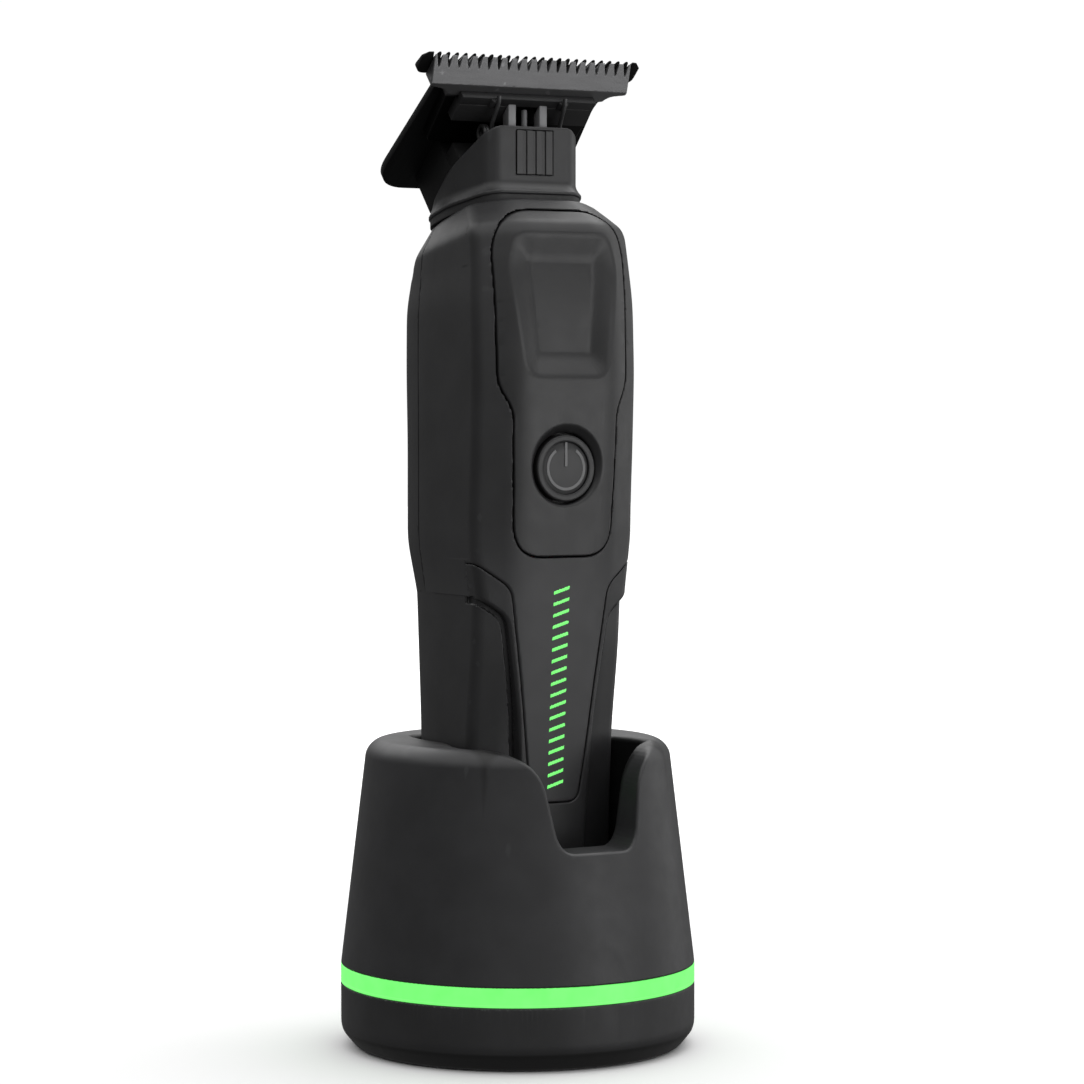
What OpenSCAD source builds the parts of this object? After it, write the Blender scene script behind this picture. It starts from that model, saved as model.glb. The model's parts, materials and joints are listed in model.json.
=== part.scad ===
// Cordless T-blade hair clipper standing in its round charging dock.
// Units are millimetres, +Z is up, and the clipper's front faces -Y.
// The origin is the centre of the dock's underside.

/* [Dock] */
// Radius of the dock at the light ring
dock_r = 33; // [31:0.5:36]
// Height of the dock
dock_h = 57.2; // [54:0.2:62]
// Inward slope of the dock wall, mm per mm of height
dock_slope = 0.1186; // [0.08:0.01:0.14]
// Radius of the rounded rim
rim_r = 3.2; // [2:0.2:4]
// Wall thickness of the dock shell
dock_wall = 2.2; // [1.6:0.1:2.6]
// Height of the socket floor
socket_floor = 21.5; // [20.5:0.1:21.6]
// Lowest point of the front notch
notch_z = 38.9; // [36:0.1:42]

/* [Light ring] */
// Underside of the light ring
ring_z0 = 11.9; // [11:0.1:12.5]
// Top of the light ring
ring_z1 = 15.4; // [15:0.1:16]

/* [Clipper body] */
// Half the grip's width
grip_w = 17.05; // [16.5:0.05:18]
// Half the lower handle's width
handle_w = 15.6; // [14.5:0.05:15.8]
// Wall thickness of the housings
wall = 2.0; // [1.6:0.1:2.2]
// Underside of the clipper in its dock
foot_z = 22.6; // [22.5:0.1:23]
// Gap along the panel seams
seam = 0.15; // [0.1:0.05:0.3]
// Travel of the power button
button_travel = 0.5; // [0.3:0.1:0.5]

/* [Blade] */
// Slope of the blades below horizontal, degrees
blade_tilt = 41; // [38:0.5:44]
// Width across the fixed blade's teeth
fixed_w = 46.0; // [44:0.2:48]
// Width across the moving cutter's teeth
cutter_w = 41.6; // [38:0.2:43]
// Distance between the fixed blade's teeth
fixed_pitch = 1.8; // [1.6:0.1:2.2]
// Distance between the cutter's teeth
cutter_pitch = 2.08; // [1.9:0.02:2.2]
// Offset of the eccentric pin, which is half the stroke
stroke = 0.8; // [0.5:0.1:0.8]

/* [Hidden] */
$fn = 64;
far = 60;

// Side profiles of the clipper, as [height, distance]
GRIP_FRONT = [[20, 12.6], [47, 13.5], [68, 14.9], [86, 16.1], [108, 18], [125, 18.7], [137, 18.2],
    [144.1, 17.5], [149.3, 16.6], [151.4, 15.7], [157, 9.6]];
GRIP_REAR = [[20, 13.9], [61, 14.6], [84, 16], [93.5, 17.4], [112, 17.3], [125, 17.8], [140, 17.6],
    [146, 16.6], [150, 15.3], [157, 12.8]];
GRIP_HALF = [[20, handle_w - 0.4], [84.3, handle_w], [87, handle_w + 0.4], [92, grip_w - 0.3], [95, grip_w],
    [138, grip_w], [144, grip_w - 0.5], [150.2, grip_w - 0.75], [151.6, grip_w - 1.2], [157, grip_w - 3.7]];
GRIP_BEVEL = [[84.3, 2.4], [92, 3.5], [104, 4.3]];
CORE_FRONT = [[20, 10.7], [47, 11.4], [59, 12], [67, 13.1], [75, 14.2], [86, 14.8]];
CORE_BEVEL = 2.8;
GRIP_LEVELS = [20, 47, 68, 84.3, 87, 92, 95, 104, 115, 125, 130, 137, 144.1, 147, 149.3, 150.2, 151.6, 154,
    157];
CORE_LEVELS = [foot_z, 34, 47, 59, 67, 75, 84.3];
CAVITY_LEVELS = [foot_z + 3, 47.2, 67.2, 84.6, 94, 106, 127, 142.4, 150, 153.8];
// The top leans down to the rear: above this height each level is sheared a little more
lean_from = 130;

// Heights in the dock
tray_floor = 3.2;
screw_seat = 2.4;

// Heights along the clipper
sleeve_top = 84.3;
split_y = 7.5;
button_z = 107.7;
button_back = 15.8;
board_front = 12.4;
top_z = 157;
seal_z = 158.4;
top_lean = 0.25;
motor_y = -1.6;
motor_z = 116.3;
mount_z = 146.3;
neck_depth = -9.1;
tooth_tip = [0, -6.6, 182.9];

function bezier(a, b, c, n) =
    [for (i = [0:n]) let (t = i / n) (1 - t) ^ 2 * a + 2 * t * (1 - t) * b + t ^ 2 * c];
function toward(p, q, r) = p + (q - p) * min(r / norm(q - p), 0.5);
// Rounds every corner of a closed outline
function rounded(pts, radii, n) = [for (i = [0:len(pts) - 1])
    let (m = len(pts), before = pts[(i + m - 1) % m], here = pts[i], after = pts[(i + 1) % m])
    each bezier(toward(here, before, radii[i]), here, toward(here, after, radii[i]), n)];
function both_sides(half) = concat(half, [for (i = [len(half) - 1:-1:0]) [-half[i].x, half[i].y]]);
function both(radii) = concat(radii, [for (i = [len(radii) - 1:-1:0]) radii[i]]);

// The clipper's cross-section: a front flat, a front bevel, a flat side and a rounded back
function section(half, front, rear, bevel, n) = rounded(
    both_sides([[0.55 * half, -front], [half, -front + bevel], [half, 0.43 * rear],
        [0.925 * half, 0.88 * rear], [0.55 * half, rear]]),
    both([3, 1.8, 5, 3, 4]), n);
function lean(z) = top_lean * max(0, z - lean_from) / (top_z - lean_from);
function at_height(pts, z) = [for (p = pts) [p.x, p.y, z - lean(z) * (p.y + 10)]];
function grip_ring(z) = at_height(section(lookup(z, GRIP_HALF), lookup(z, GRIP_FRONT),
    lookup(z, GRIP_REAR), lookup(z, GRIP_BEVEL), 3), z);
function core_ring(z) = at_height(section(lookup(z, GRIP_HALF), lookup(z, CORE_FRONT),
    lookup(z, GRIP_REAR), CORE_BEVEL, 3), z);
function cavity_front(z) = lookup(z, z < 90 ? CORE_FRONT : GRIP_FRONT) - wall;
function cavity_ring(z) = at_height(section(lookup(z, GRIP_HALF) - wall, cavity_front(z),
    lookup(z, GRIP_REAR) - wall, z < 90 ? 3.7 : 5.9, 1), z);

// A closed slab between two rings with the same number of points
module slab(lower, upper) {
    n = len(lower);
    polyhedron(points = concat(lower, upper), faces = concat(
        [[for (k = [0:n - 1]) k], [for (k = [n - 1:-1:0]) n + k]],
        [for (k = [0:n - 1]) each [[k, n + k, (k + 1) % n], [(k + 1) % n, n + k, n + (k + 1) % n]]]));
}
module skin(rings) {
    for (i = [0:len(rings) - 2])
        hull()
            slab(rings[i], rings[i + 1]);
}
module grip() {
    skin([for (z = GRIP_LEVELS) grip_ring(z)]);
}
module core() {
    skin([for (z = CORE_LEVELS) core_ring(z)]);
}
module cavity() {
    skin([for (z = CAVITY_LEVELS) cavity_ring(z)]);
}
// Leans its children as the top of the body leans
module leaning() {
    multmatrix([[1, 0, 0, 0], [0, 1, 0, 0], [0, -top_lean, 1, -10 * top_lean], [0, 0, 0, 1]])
        children();
}
// Extrudes a front-view outline from y = -near to y = -away
module front_prism(outline, near, away) {
    translate([0, -near, 0])
        rotate([90, 0, 0])
            linear_extrude(away - near)
                polygon(outline);
}
// A frame on the blades: x across, y down the slope from the tooth tips, z up out of the skin side
module on_blade() {
    translate(tooth_tip)
        rotate([-blade_tilt, 0, 0])
            children();
}
// A round tube swept along a list of points
function tube_frame(pts, i) =
    let (a = pts[max(i - 1, 0)], b = pts[min(i + 1, len(pts) - 1)], t = (b - a) / norm(b - a),
        s = abs(t.z) < 0.9 ? cross([0, 0, 1], t) : cross([0, 1, 0], t), u = s / norm(s))
    [u, cross(t, u)];
module tube(pts, r, sides = 8) {
    n = len(pts);
    points = [for (i = [0:n - 1]) let (f = tube_frame(pts, i)) for (k = [0:sides - 1])
        pts[i] + r * (cos(360 * k / sides) * f[0] + sin(360 * k / sides) * f[1])];
    polyhedron(points = points, faces = concat(
        [[for (k = [0:sides - 1]) sides - 1 - k]],
        [for (i = [0:n - 2]) for (k = [0:sides - 1])
            each [[i * sides + k, i * sides + (k + 1) % sides, (i + 1) * sides + (k + 1) % sides],
                [i * sides + k, (i + 1) * sides + (k + 1) % sides, (i + 1) * sides + k]]],
        [[for (k = [0:sides - 1]) (n - 1) * sides + k]]));
}
module screw(r, length, head_r, head_h) {
    translate([0, 0, -length])
        cylinder(r = r, h = length + 0.1, $fn = 32);
    difference() {
        cylinder(r = head_r, h = head_h, $fn = 32);
        for (a = [0, 90])
            rotate([0, 0, a])
                translate([-head_r * 0.65, -0.25, head_h * 0.5])
                    cube([head_r * 1.3, 0.5, head_h]);
    }
}

// Front-view outlines, x across and y up the clipper
PANEL = both_sides([[7.2, 91.5], [10.2, 94.5], [10.8, 113], [10.8, 118], [13.5, 123], [13.8, 147],
    [12.4, 151.6], [8, 154.6]]);
panel_line = rounded(PANEL, both([3, 3, 2, 2, 2, 2, 2.5, 3]), 3);
DISH = both_sides([[8.4, 124.3], [11.4, 144.6], [9.6, 150.2]]);
DISH_FLOOR = both_sides([[5.6, 128.2], [7.2, 145.3], [6.8, 145.6]]);
TONGUE = both_sides([[4.8, 46.3], [5.9, 53.3], [7.6, 68], [10.15, 86], [17.3, 91.2], [17.3, 170]]);
tongue_line = rounded(TONGUE, both([2, 3, 5, 2, 0.1, 0.1]), 3);
SPINE = both_sides([[5.8, 22.6], [8, 63], [10.7, 80.8], [17.3, 85.3], [17.3, 170]]);
spine_line = rounded(SPINE, both([0.5, 5, 2, 0.1, 0.1]), 3);
NECK = both_sides([[7.7, -6.3], [9.8, -4.8], [13, 2.4], [13, 10], [10, 12.8]]);
NECK_RADII = both([1, 1, 2, 3, 3]);
NECK_HOLLOW = both_sides([[6.4, -4.9], [8.2, -3.8], [10.8, 2.4], [10.8, 9], [8.6, 10.8]]);
NOTCH = concat([[0, notch_z]], bezier([5, notch_z], [7.9, notch_z], [8.5, notch_z + 4.6], 4),
    bezier([9.5, notch_z + 10.6], [10.6, dock_h - 1.6], [17, dock_h + 0.1], 6), [[17, far + 10]]);
notch_line = both_sides(NOTCH);
SOCKET = both_sides([[10, -21], [19.2, -15.5], [18.6, -9.5], [16.3, -4], [16.3, 8.5], [14.8, 14.6],
    [9.5, 15.6]]);
SOCKET_RADII = both([4, 3, 3, 3, 4, 2, 3]);
BOSSES = [[22.5, 13], [-22.5, 13], [0, -26]];
CONTACTS = [-5, 5];

function dock_radius(z) = dock_r - (z - ring_z1) * dock_slope;
module dock_outer() {
    rotate_extrude($fn = 128)
        polygon(concat([[0, ring_z1], [dock_r, ring_z1]],
            [for (a = [7:13.83:91]) [dock_radius(dock_h - rim_r) - rim_r + rim_r * cos(a),
                dock_h - rim_r + rim_r * sin(a)]],
            [[0, dock_h]]));
}
module dock_inner() {
    rotate_extrude($fn = 128)
        polygon([[0, ring_z1 - 1], [dock_r - dock_wall, ring_z1 - 1],
            [dock_radius(dock_h) - dock_wall - 2, dock_h - dock_wall], [0, dock_h - dock_wall]]);
}
module socket_prism(grow, floor_z) {
    translate([0, 0, floor_z])
        linear_extrude(far)
            offset(delta = grow)
                polygon(rounded(SOCKET, SOCKET_RADII, 3));
}
module notch_prism(grow) {
    translate([0, -12, 0])
        rotate([90, 0, 0])
            linear_extrude(30)
                offset(delta = grow)
                    polygon(notch_line);
}

module dock_shell() {
    color("#1c1c1e")
        union() {
            difference() {
                dock_outer();
                socket_prism(0, socket_floor);
                notch_prism(0);
                difference() {
                    dock_inner();
                    socket_prism(dock_wall, socket_floor - dock_wall);
                    notch_prism(dock_wall);
                }
                translate([-8, -3.5, socket_floor - dock_wall - 1])
                    cube([16, 7, dock_wall + 2]);
            }
            for (p = BOSSES)
                translate([p.x, p.y, tray_floor])
                    difference() {
                        union() {
                            cylinder(r = 2.6, h = 21);
                            rotate([0, 0, atan2(p.y, p.x)])
                                translate([0, -0.8, 12.4])
                                    cube([4.2, 1.6, 8.6]);
                        }
                        translate([0, 0, -1])
                            cylinder(r = 1.2, h = 12);
                    }
        }
}
module light_ring() {
    color("#7dff7a")
        rotate_extrude($fn = 128)
            polygon([[29.4, ring_z0], [dock_r, ring_z0], [dock_r, ring_z0 + 0.4], [dock_r - 0.4, ring_z0 + 0.45],
                [dock_r - 0.4, ring_z0 + 0.7], [dock_r, ring_z0 + 0.75], [dock_r, ring_z1], [29.4, ring_z1]]);
}
module base_tray() {
    color("#1a1a1c")
        difference() {
            rotate_extrude($fn = 128)
                polygon([[0, 0.25], [30.4, 0.25], [32.6, 2.9], [dock_r - 0.15, 3.7], [dock_r, 4.6],
                    [dock_r, ring_z0], [30.6, ring_z0], [30.6, 5], [28.8, tray_floor], [0, tray_floor]]);
            translate([0, 0, -0.1])
                rotate_extrude($fn = 128)
                    translate([23.3, 0])
                        square([5.4, 1.5]);
            translate([0, dock_r, 7.4])
                cube([9.2, 10, 3.4], center = true);
            for (p = BOSSES)
                translate([p.x, p.y, -1]) {
                    cylinder(r = 1.3, h = 8, $fn = 32);
                    cylinder(r = 2.5, h = screw_seat + 1, $fn = 32);
                }
        }
}
module foot_ring() {
    color("#101010")
        rotate_extrude($fn = 128)
            polygon([[23.4, 0.2], [23.6, 0], [28.4, 0], [28.6, 0.2], [28.6, 1.4], [23.4, 1.4]]);
}
module ballast_plate() {
    color("silver")
        translate([0, 0, tray_floor])
            cylinder(r = 22, h = 1.8);
}
module dock_board() {
    color("darkgreen")
        difference() {
            translate([0, 0, 9])
                cylinder(r = 27.6, h = 1.2);
            for (p = BOSSES)
                translate([p.x, p.y, 8])
                    cylinder(r = 3, h = 4);
        }
}
module leds() {
    color("white")
        for (a = [15:30:345])
            rotate([0, 0, a])
                translate([25.2, -0.8, 10.2])
                    cube([1.6, 1.6, 0.8]);
}
module usb_socket() {
    color("silver") {
        translate([0, 28.6, 7.4])
            difference() {
                cube([8.9, 7.4, 3.1], center = true);
                translate([0, 0.6, 0])
                    cube([8.3, 7.4, 2.5], center = true);
            }
        translate([0, 28.3, 7.4])
            cube([6.6, 5.6, 0.7], center = true);
    }
}
module contact_block() {
    color("#222222")
        difference() {
            union() {
                translate([-7.9, -3.4, 10.2])
                    cube([15.8, 6.8, socket_floor - 10.2]);
                translate([-10, -5, socket_floor - dock_wall - 2])
                    cube([20, 10, 2]);
            }
            for (x = CONTACTS)
                translate([x, 0, 0]) {
                    translate([0, 0, socket_floor - 2])
                        cylinder(r = 0.85, h = 4, $fn = 32);
                    translate([0, 0, 11])
                        cylinder(r = 1.75, h = socket_floor - 12.5, $fn = 32);
                }
        }
}
module contact_pins() {
    color("gold")
        for (x = CONTACTS)
            translate([x, 0, 0]) {
                translate([0, 0, 18.5])
                    cylinder(r = 0.8, h = 3.8, $fn = 32);
                translate([0, 0, 18.2])
                    cylinder(r = 1.3, h = 0.9, $fn = 32);
            }
}
module contact_springs() {
    turns = 5;
    steps = 10;
    color("silver")
        for (x = CONTACTS)
            tube([for (i = [0:turns * steps])
                [x + 0.95 * cos(360 * i / steps), 0.95 * sin(360 * i / steps), 18 - i * 5 / (turns * steps)]],
                0.2, 6);
}
module dock_screws() {
    color("silver")
        for (p = BOSSES)
            translate([p.x, p.y, screw_seat])
                rotate([180, 0, 0])
                    screw(1.2, 8, 2.2, 0.8);
}

module sleeve_mouth(height, grow = 0) {
    translate([0, 0, foot_z])
        linear_extrude(height)
            offset(delta = grow - wall)
                polygon([for (p = core_ring(foot_z)) [p.x, p.y]]);
}
module handle_sleeve() {
    color("#202022")
        difference() {
            core();
            cavity();
            translate([0, 0, -1])
                sleeve_mouth(6);
        }
}
module bottom_cap() {
    color("#161616")
        difference() {
            sleeve_mouth(2.6, -0.05);
            for (x = CONTACTS)
                translate([x, 0, foot_z - 1])
                    cylinder(r = 2.1, h = 5, $fn = 32);
        }
}
module charge_pads() {
    color("gold")
        for (x = CONTACTS)
            translate([x, 0, foot_z])
                cylinder(r = 2.1, h = 1.6, $fn = 32);
}
module light_pattern(near, away, grow = 0) {
    for (i = [0:17])
        translate([0, 0, 49.7 + 2.1 * i])
            front_prism([[-1.7 - grow, -0.85 - grow], [1.7 + grow, 0.15 - grow], [1.7 + grow, 0.85 + grow],
                [-1.7 - grow, -0.15 + grow]], near, away);
}
module button_hole(r, near, away) {
    translate([0, -near, button_z])
        rotate([90, 0, 0])
            cylinder(r = r, h = away - near);
}
SCREW_HEIGHTS = [99, 143];
screw_y = 12;
module posts(y0, y1, r) {
    for (side = [-1, 1])
        for (z = SCREW_HEIGHTS)
            translate([side * 13.2, y0, z])
                rotate([-90, 0, 0])
                    cylinder(r = r, h = y1 - y0, $fn = 24);
}
module shaft_hole() {
    translate([0, motor_y, 148])
        cylinder(r = 4.4, h = 14);
}
module front_region() {
    front_prism(tongue_line, 9.5, far);
    translate([-far, -9.5, sleeve_top])
        cube([2 * far, 9.5 + split_y, far * 2]);
}
module front_housing() {
    color("#232325")
        difference() {
            union() {
                difference() {
                    intersection() {
                        grip();
                        front_region();
                    }
                    cavity();
                }
                posts(-11.5, split_y, 2.2);
            }
            core();
            posts(-2, split_y + 1, 1.05);
            front_prism(panel_line, 10, far);
            light_pattern(9, far);
            shaft_hole();
        }
}
module rear_housing() {
    color("#232325")
        difference() {
            union() {
                difference() {
                    intersection() {
                        grip();
                        translate([-far, split_y, sleeve_top])
                            cube([2 * far, far, 2 * far]);
                    }
                    cavity();
                }
                intersection() {
                    posts(split_y, 14.4, 2.2);
                    grip();
                }
            }
            posts(split_y - 1, far, 1.2);
            posts(screw_y, far, 2.1);
            shaft_hole();
        }
}
module spine_frame() {
    color("#1f1f21")
        difference() {
            intersection() {
                grip();
                front_prism(spine_line, 9.5, far);
                translate([-far, -far, foot_z])
                    cube([2 * far, 2 * far, 70]);
            }
            translate([0, -9.5, 0])
                rotate([90, 0, 0])
                    linear_extrude(far)
                        offset(delta = seam)
                            polygon(tongue_line);
            scale([1.003, 1.003, 1])
                core();
            cavity();
        }
}
module front_panel() {
    color("#28282a")
        difference() {
            intersection() {
                grip();
                translate([0, -10, 0])
                    rotate([90, 0, 0])
                        linear_extrude(far)
                            offset(delta = -seam)
                                polygon(panel_line);
            }
            difference() {
                cavity();
                front_prism(DISH, 14, far);
            }
            button_hole(6.5, 9, far);
            translate([0, 0, 128])
                multmatrix([[1, 0, 0, 0], [0, 1, 0.08, 0], [0, 0, 1, 0], [0, 0, 0, 1]])
                    translate([0, 0, -128])
                        hull() {
                            front_prism(DISH, 18.9, 22);
                            front_prism(DISH_FLOOR, 16.9, 22);
                        }
            translate([0, -16.9, button_z])
                rotate([90, 0, 0])
                    cylinder(r1 = 6.5, r2 = 8.6, h = 2.1);
        }
}
module light_strip() {
    color("#7dff7a")
        intersection() {
            difference() {
                grip();
                translate([0, 1, 0])
                    grip();
            }
            light_pattern(9, far);
        }
}
module power_button() {
    color("#2b2b2d")
        difference() {
            union() {
                button_hole(6.1, button_back, 17.7);
                button_hole(1.8, button_back - 0.7, button_back + 0.1);
            }
            power_icon(17.5, 18);
        }
}
module power_icon(near, away) {
    translate([0, -near, button_z])
        rotate([90, 0, 0])
            linear_extrude(away - near) {
                difference() {
                    circle(r = 4.1, $fn = 48);
                    circle(r = 3.6, $fn = 48);
                    polygon([[0, 0], [4, 6], [-4, 6]]);
                }
                translate([-0.25, 0.2])
                    square([0.5, 4.5]);
            }
}
module button_icon() {
    color("#8a8a8a")
        power_icon(17.5, 17.72);
}
module button_seat() {
    seat_front = button_back - button_travel - 0.4;
    color("#151515")
        difference() {
            button_hole(7.8, board_front, seat_front);
            button_hole(6.8, board_front - 1, seat_front - 0.6);
            button_hole(2.2, board_front, seat_front + 1);
        }
}
module tact_switch() {
    color("silver") {
        translate([-3, -board_front - 1.5, button_z - 3])
            cube([6, 1.5, 6]);
        button_hole(1.5, board_front + 1.4, board_front + 1.9);
    }
}
module circuit_board() {
    color("darkgreen")
        translate([-8, -board_front, 97])
            cube([16, 1.2, 44]);
}
module battery() {
    color("steelblue")
        translate([0, 1.5, 27]) {
            cylinder(r = 9.2, h = 64);
            translate([0, 0, 64])
                cylinder(r = 3, h = 1);
        }
}
module inner_frame() {
    color("dimgray") {
        for (side = [-1, 1])
            translate([side * 10.2 - 0.8, -2.5, 25.3])
                cube([1.6, 8, 91]);
        difference() {
            union() {
                for (z = [25.3, 93, 114.3])
                    translate([-10, -7, z])
                        cube([20, 15, z < 30 ? 1.6 : 2]);
                for (side = [-1, 1])
                    translate([side * 6.5 - 1, -11.2, 94.9])
                        cube([2, 6, 21.4]);
            }
            translate([0, 1.5, 92])
                cylinder(r = 3.4, h = 6);
            translate([0, motor_y, 113])
                cylinder(r = 3.4, h = 6);
        }
    }
}
module battery_leads() {
    color("red")
        for (side = [-1, 1])
            tube([for (p = bezier([side * 2, -7.9, 89], [side * 2, -9.6, 93], [side * 2, -10.4, 98], 6)) p],
                0.5);
}
module motor_can() {
    color("silver")
        difference() {
            union() {
                translate([0, motor_y, motor_z])
                    cylinder(r = 9, h = 30);
                translate([0, motor_y, mount_z])
                    cylinder(r = 3, h = 1);
            }
            translate([0, motor_y, motor_z + 1.5])
                cylinder(r = 1.05, h = 40);
            for (side = [-1, 1])
                translate([side * 6, motor_y, mount_z - 2.5])
                    cylinder(r = 0.8, h = 4, $fn = 24);
        }
}
module motor_mount() {
    color("dimgray")
        difference() {
            translate([0, motor_y, mount_z])
                cylinder(r = 10.2, h = 1.6);
            translate([0, motor_y, mount_z - 0.5])
                cylinder(r = 3, h = 3);
            for (side = [-1, 1])
                translate([side * 6, motor_y, mount_z - 0.5])
                    cylinder(r = 0.8, h = 4, $fn = 24);
        }
}
module motor_screws() {
    color("silver")
        for (side = [-1, 1])
            translate([side * 6, motor_y, mount_z + 1.6])
                screw(0.8, 3.6, 1.5, 1);
}
module rotor_shaft() {
    color("silver")
        translate([0, motor_y, motor_z + 2])
            cylinder(r = 1, h = 158 - motor_z);
}
module eccentric_cam() {
    color("dimgray") {
        difference() {
            translate([0, motor_y, 158.9])
                cylinder(r = 3.2, h = 4.2);
            translate([0, motor_y, 158])
                cylinder(r = 1, h = 2);
        }
        translate([0, motor_y - stroke, 163])
            cylinder(r = 0.55, h = 10.5, $fn = 32);
    }
}
module neck_plan(grow) {
    offset(r = grow)
        polygon(rounded(NECK, NECK_RADII, 3));
}
module neck_seal() {
    color("#0c0c0c")
        difference() {
            leaning()
                translate([0, 0, top_z])
                    linear_extrude(seal_z - top_z)
                        neck_plan(0.5);
            shaft_hole();
        }
}
module head_neck() {
    color("#262628")
        difference() {
            leaning() {
                translate([0, 0, seal_z])
                    linear_extrude(far)
                        neck_plan(0);
                hull() {
                    translate([0, 0, seal_z])
                        linear_extrude(1.2)
                            neck_plan(1.2);
                    translate([0, 0, seal_z + 2.6])
                        linear_extrude(0.2)
                            neck_plan(0.1);
                }
            }
            leaning()
                translate([0, 0, seal_z + 1.8])
                    linear_extrude(far)
                        polygon(NECK_HOLLOW);
            on_blade()
                translate([-far, -far, neck_depth])
                    cube([2 * far, 3 * far, far]);
            shaft_hole();
            front_prism([[-3.9, 161.4], [3.9, 161.4], [3.9, 169.6], [-3.9, 169.6]], 5.85, far);
        }
}
module head_badge() {
    color("#141414")
        difference() {
            front_prism([[-3.8, 161.5], [3.8, 161.5], [3.8, 169.5], [-3.8, 169.5]], 5.85, 6.4);
            for (x = [-2, 0, 2])
                front_prism([[x - 0.3, 162.5], [x + 0.3, 162.5], [x + 0.3, 168.5], [x - 0.3, 168.5]], 6.15, 7);
        }
}
module blade_base() {
    color("#121212")
        difference() {
            on_blade() {
                translate([-12, 21, neck_depth])
                    cube([24, 11.5, -neck_depth]);
                translate([-12, 17.5, neck_depth])
                    cube([24, 3.6, 4.1]);
            }
            on_blade()
                for (side = [-1, 1])
                    translate([side * 7, 27, -7])
                        cylinder(r = 1.2, h = 10, $fn = 32);
        }
}

// The blades' outlines in the blade frame
FIXED_TOOTH = 2.2;
FIXED_PLATE = rounded(both_sides([[fixed_w / 2, FIXED_TOOTH], [fixed_w / 2, 5.3], [17.2, 5.3], [17.7, 9],
    [19.9, 35]]), both([0.5, 1.6, 1.6, 3, 6.5]), 4);
module teeth(width, pitch, depth, root, thick) {
    count = floor(width / pitch / 2) * 2 + 1;
    for (i = [0:count - 1]) {
        x = (i - (count - 1) / 2) * pitch;
        translate([0, 0, thick < 0 ? thick : 0])
            linear_extrude(abs(thick))
                polygon([[x - root / 2, depth], [x - 0.22, 0.12], [x, 0], [x + 0.22, 0.12],
                    [x + root / 2, depth]]);
    }
}
module fixed_blade() {
    color("#0c0c0e")
        on_blade()
            difference() {
                union() {
                    linear_extrude(1.4)
                        polygon(FIXED_PLATE);
                    teeth(fixed_w - 3.4, fixed_pitch, FIXED_TOOTH + 0.2, 1.3, 1.1);
                    for (side = [-1, 1])
                        linear_extrude(1.2)
                            polygon([[side * fixed_w / 2, FIXED_TOOTH + 0.6], [side * fixed_w / 2, 1.3],
                                [side * (fixed_w / 2 - 1), 0.2], [side * (fixed_w / 2 - 2), 0.1],
                                [side * (fixed_w / 2 - 2.6), FIXED_TOOTH + 0.6]]);
                }
                translate([-far, 0, 0.25])
                    rotate([13, 0, 0])
                        translate([0, -1, 0])
                            cube([2 * far, 5.6, 4]);
                for (side = [-1, 1])
                    translate([side * 7, 27, -1])
                        cylinder(r = 1.2, h = 4, $fn = 32);
            }
}
CUTTER_SIDE = [[0.3, -0.02], [0.42, -0.12], [4.9, -3.04], [7.4, -3.04], [8.2, -2.4], [20, -2.4], [20, -0.02]];
CUTTER_PLAN = rounded(both_sides([[cutter_w / 2, 0], [cutter_w / 2, 5.6], [16.2, 6.4], [15.6, 20.2]]),
    both([0.1, 0.4, 3.5, 1.5]), 4);
module cutter_blade() {
    slots = floor(cutter_w / cutter_pitch);
    color("#6a6a6c")
        on_blade()
            difference() {
                intersection() {
                    translate([-far / 2, 0, 0])
                        rotate([90, 0, 90])
                            linear_extrude(far)
                                polygon(CUTTER_SIDE);
                    translate([0, 0, -5])
                        linear_extrude(6)
                            polygon(CUTTER_PLAN);
                }
                for (i = [0:slots - 1])
                    translate([(i - (slots - 1) / 2) * cutter_pitch, 0, -4])
                        linear_extrude(5)
                            polygon([[-0.68, -1], [0.68, -1], [0.5, 0.6], [0.12, 2.35], [-0.12, 2.35],
                                [-0.5, 0.6]]);
            }
}
module yoke() {
    color("#3a3a3c") {
        difference() {
            on_blade() {
                translate([-14.2, 8.3, -4.6])
                    cube([28.4, 4.2, 2.2]);
                translate([-14.2, 6.4, -4.6])
                    cube([28.4, 1.95, 1.56]);
            }
            translate([-2.5, -3.5, 165])
                cube([5, 3.7, 15]);
        }
        for (side = [-1, 1])
            translate([side * 3.3 - 0.8, -3.8, 170])
                cube([1.6, 2.2, 4.4]);
    }
}
// Half of the blade spring: tip at the yoke, arm, coil, then the bar that joins both halves
SPRING_HALF = concat(
    [[7, -5.5, 175.7], [7, -5.3, 174.5], [7.1, -4.2, 172.7], [7.2, -3.2, 171]],
    [for (i = [0:28]) [7.3 + i * 0.05, -1.3 - 1.5 * cos(i * 30), 168.9 - 1.5 * sin(i * 30)]],
    [[8.2, 0.5, 166.4], [6.8, 0.7, 166], [3, 0.7, 165.9]]);
module blade_spring() {
    color("#8c8c8e")
        tube(concat(SPRING_HALF, [for (i = [len(SPRING_HALF) - 1:-1:0])
            [-SPRING_HALF[i].x, SPRING_HALF[i].y, SPRING_HALF[i].z]]), 0.4);
}
module blade_screws() {
    color("silver")
        on_blade()
            for (side = [-1, 1])
                translate([side * 7, 27, 1.4])
                    screw(1.2, 8, 2.3, 1.1);
}
module housing_screws() {
    color("silver")
        for (side = [-1, 1])
            for (z = SCREW_HEIGHTS)
                translate([side * 13.2, screw_y, z])
                    rotate([-90, 0, 0])
                        screw(1, 14, 1.9, 1);
}

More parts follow.
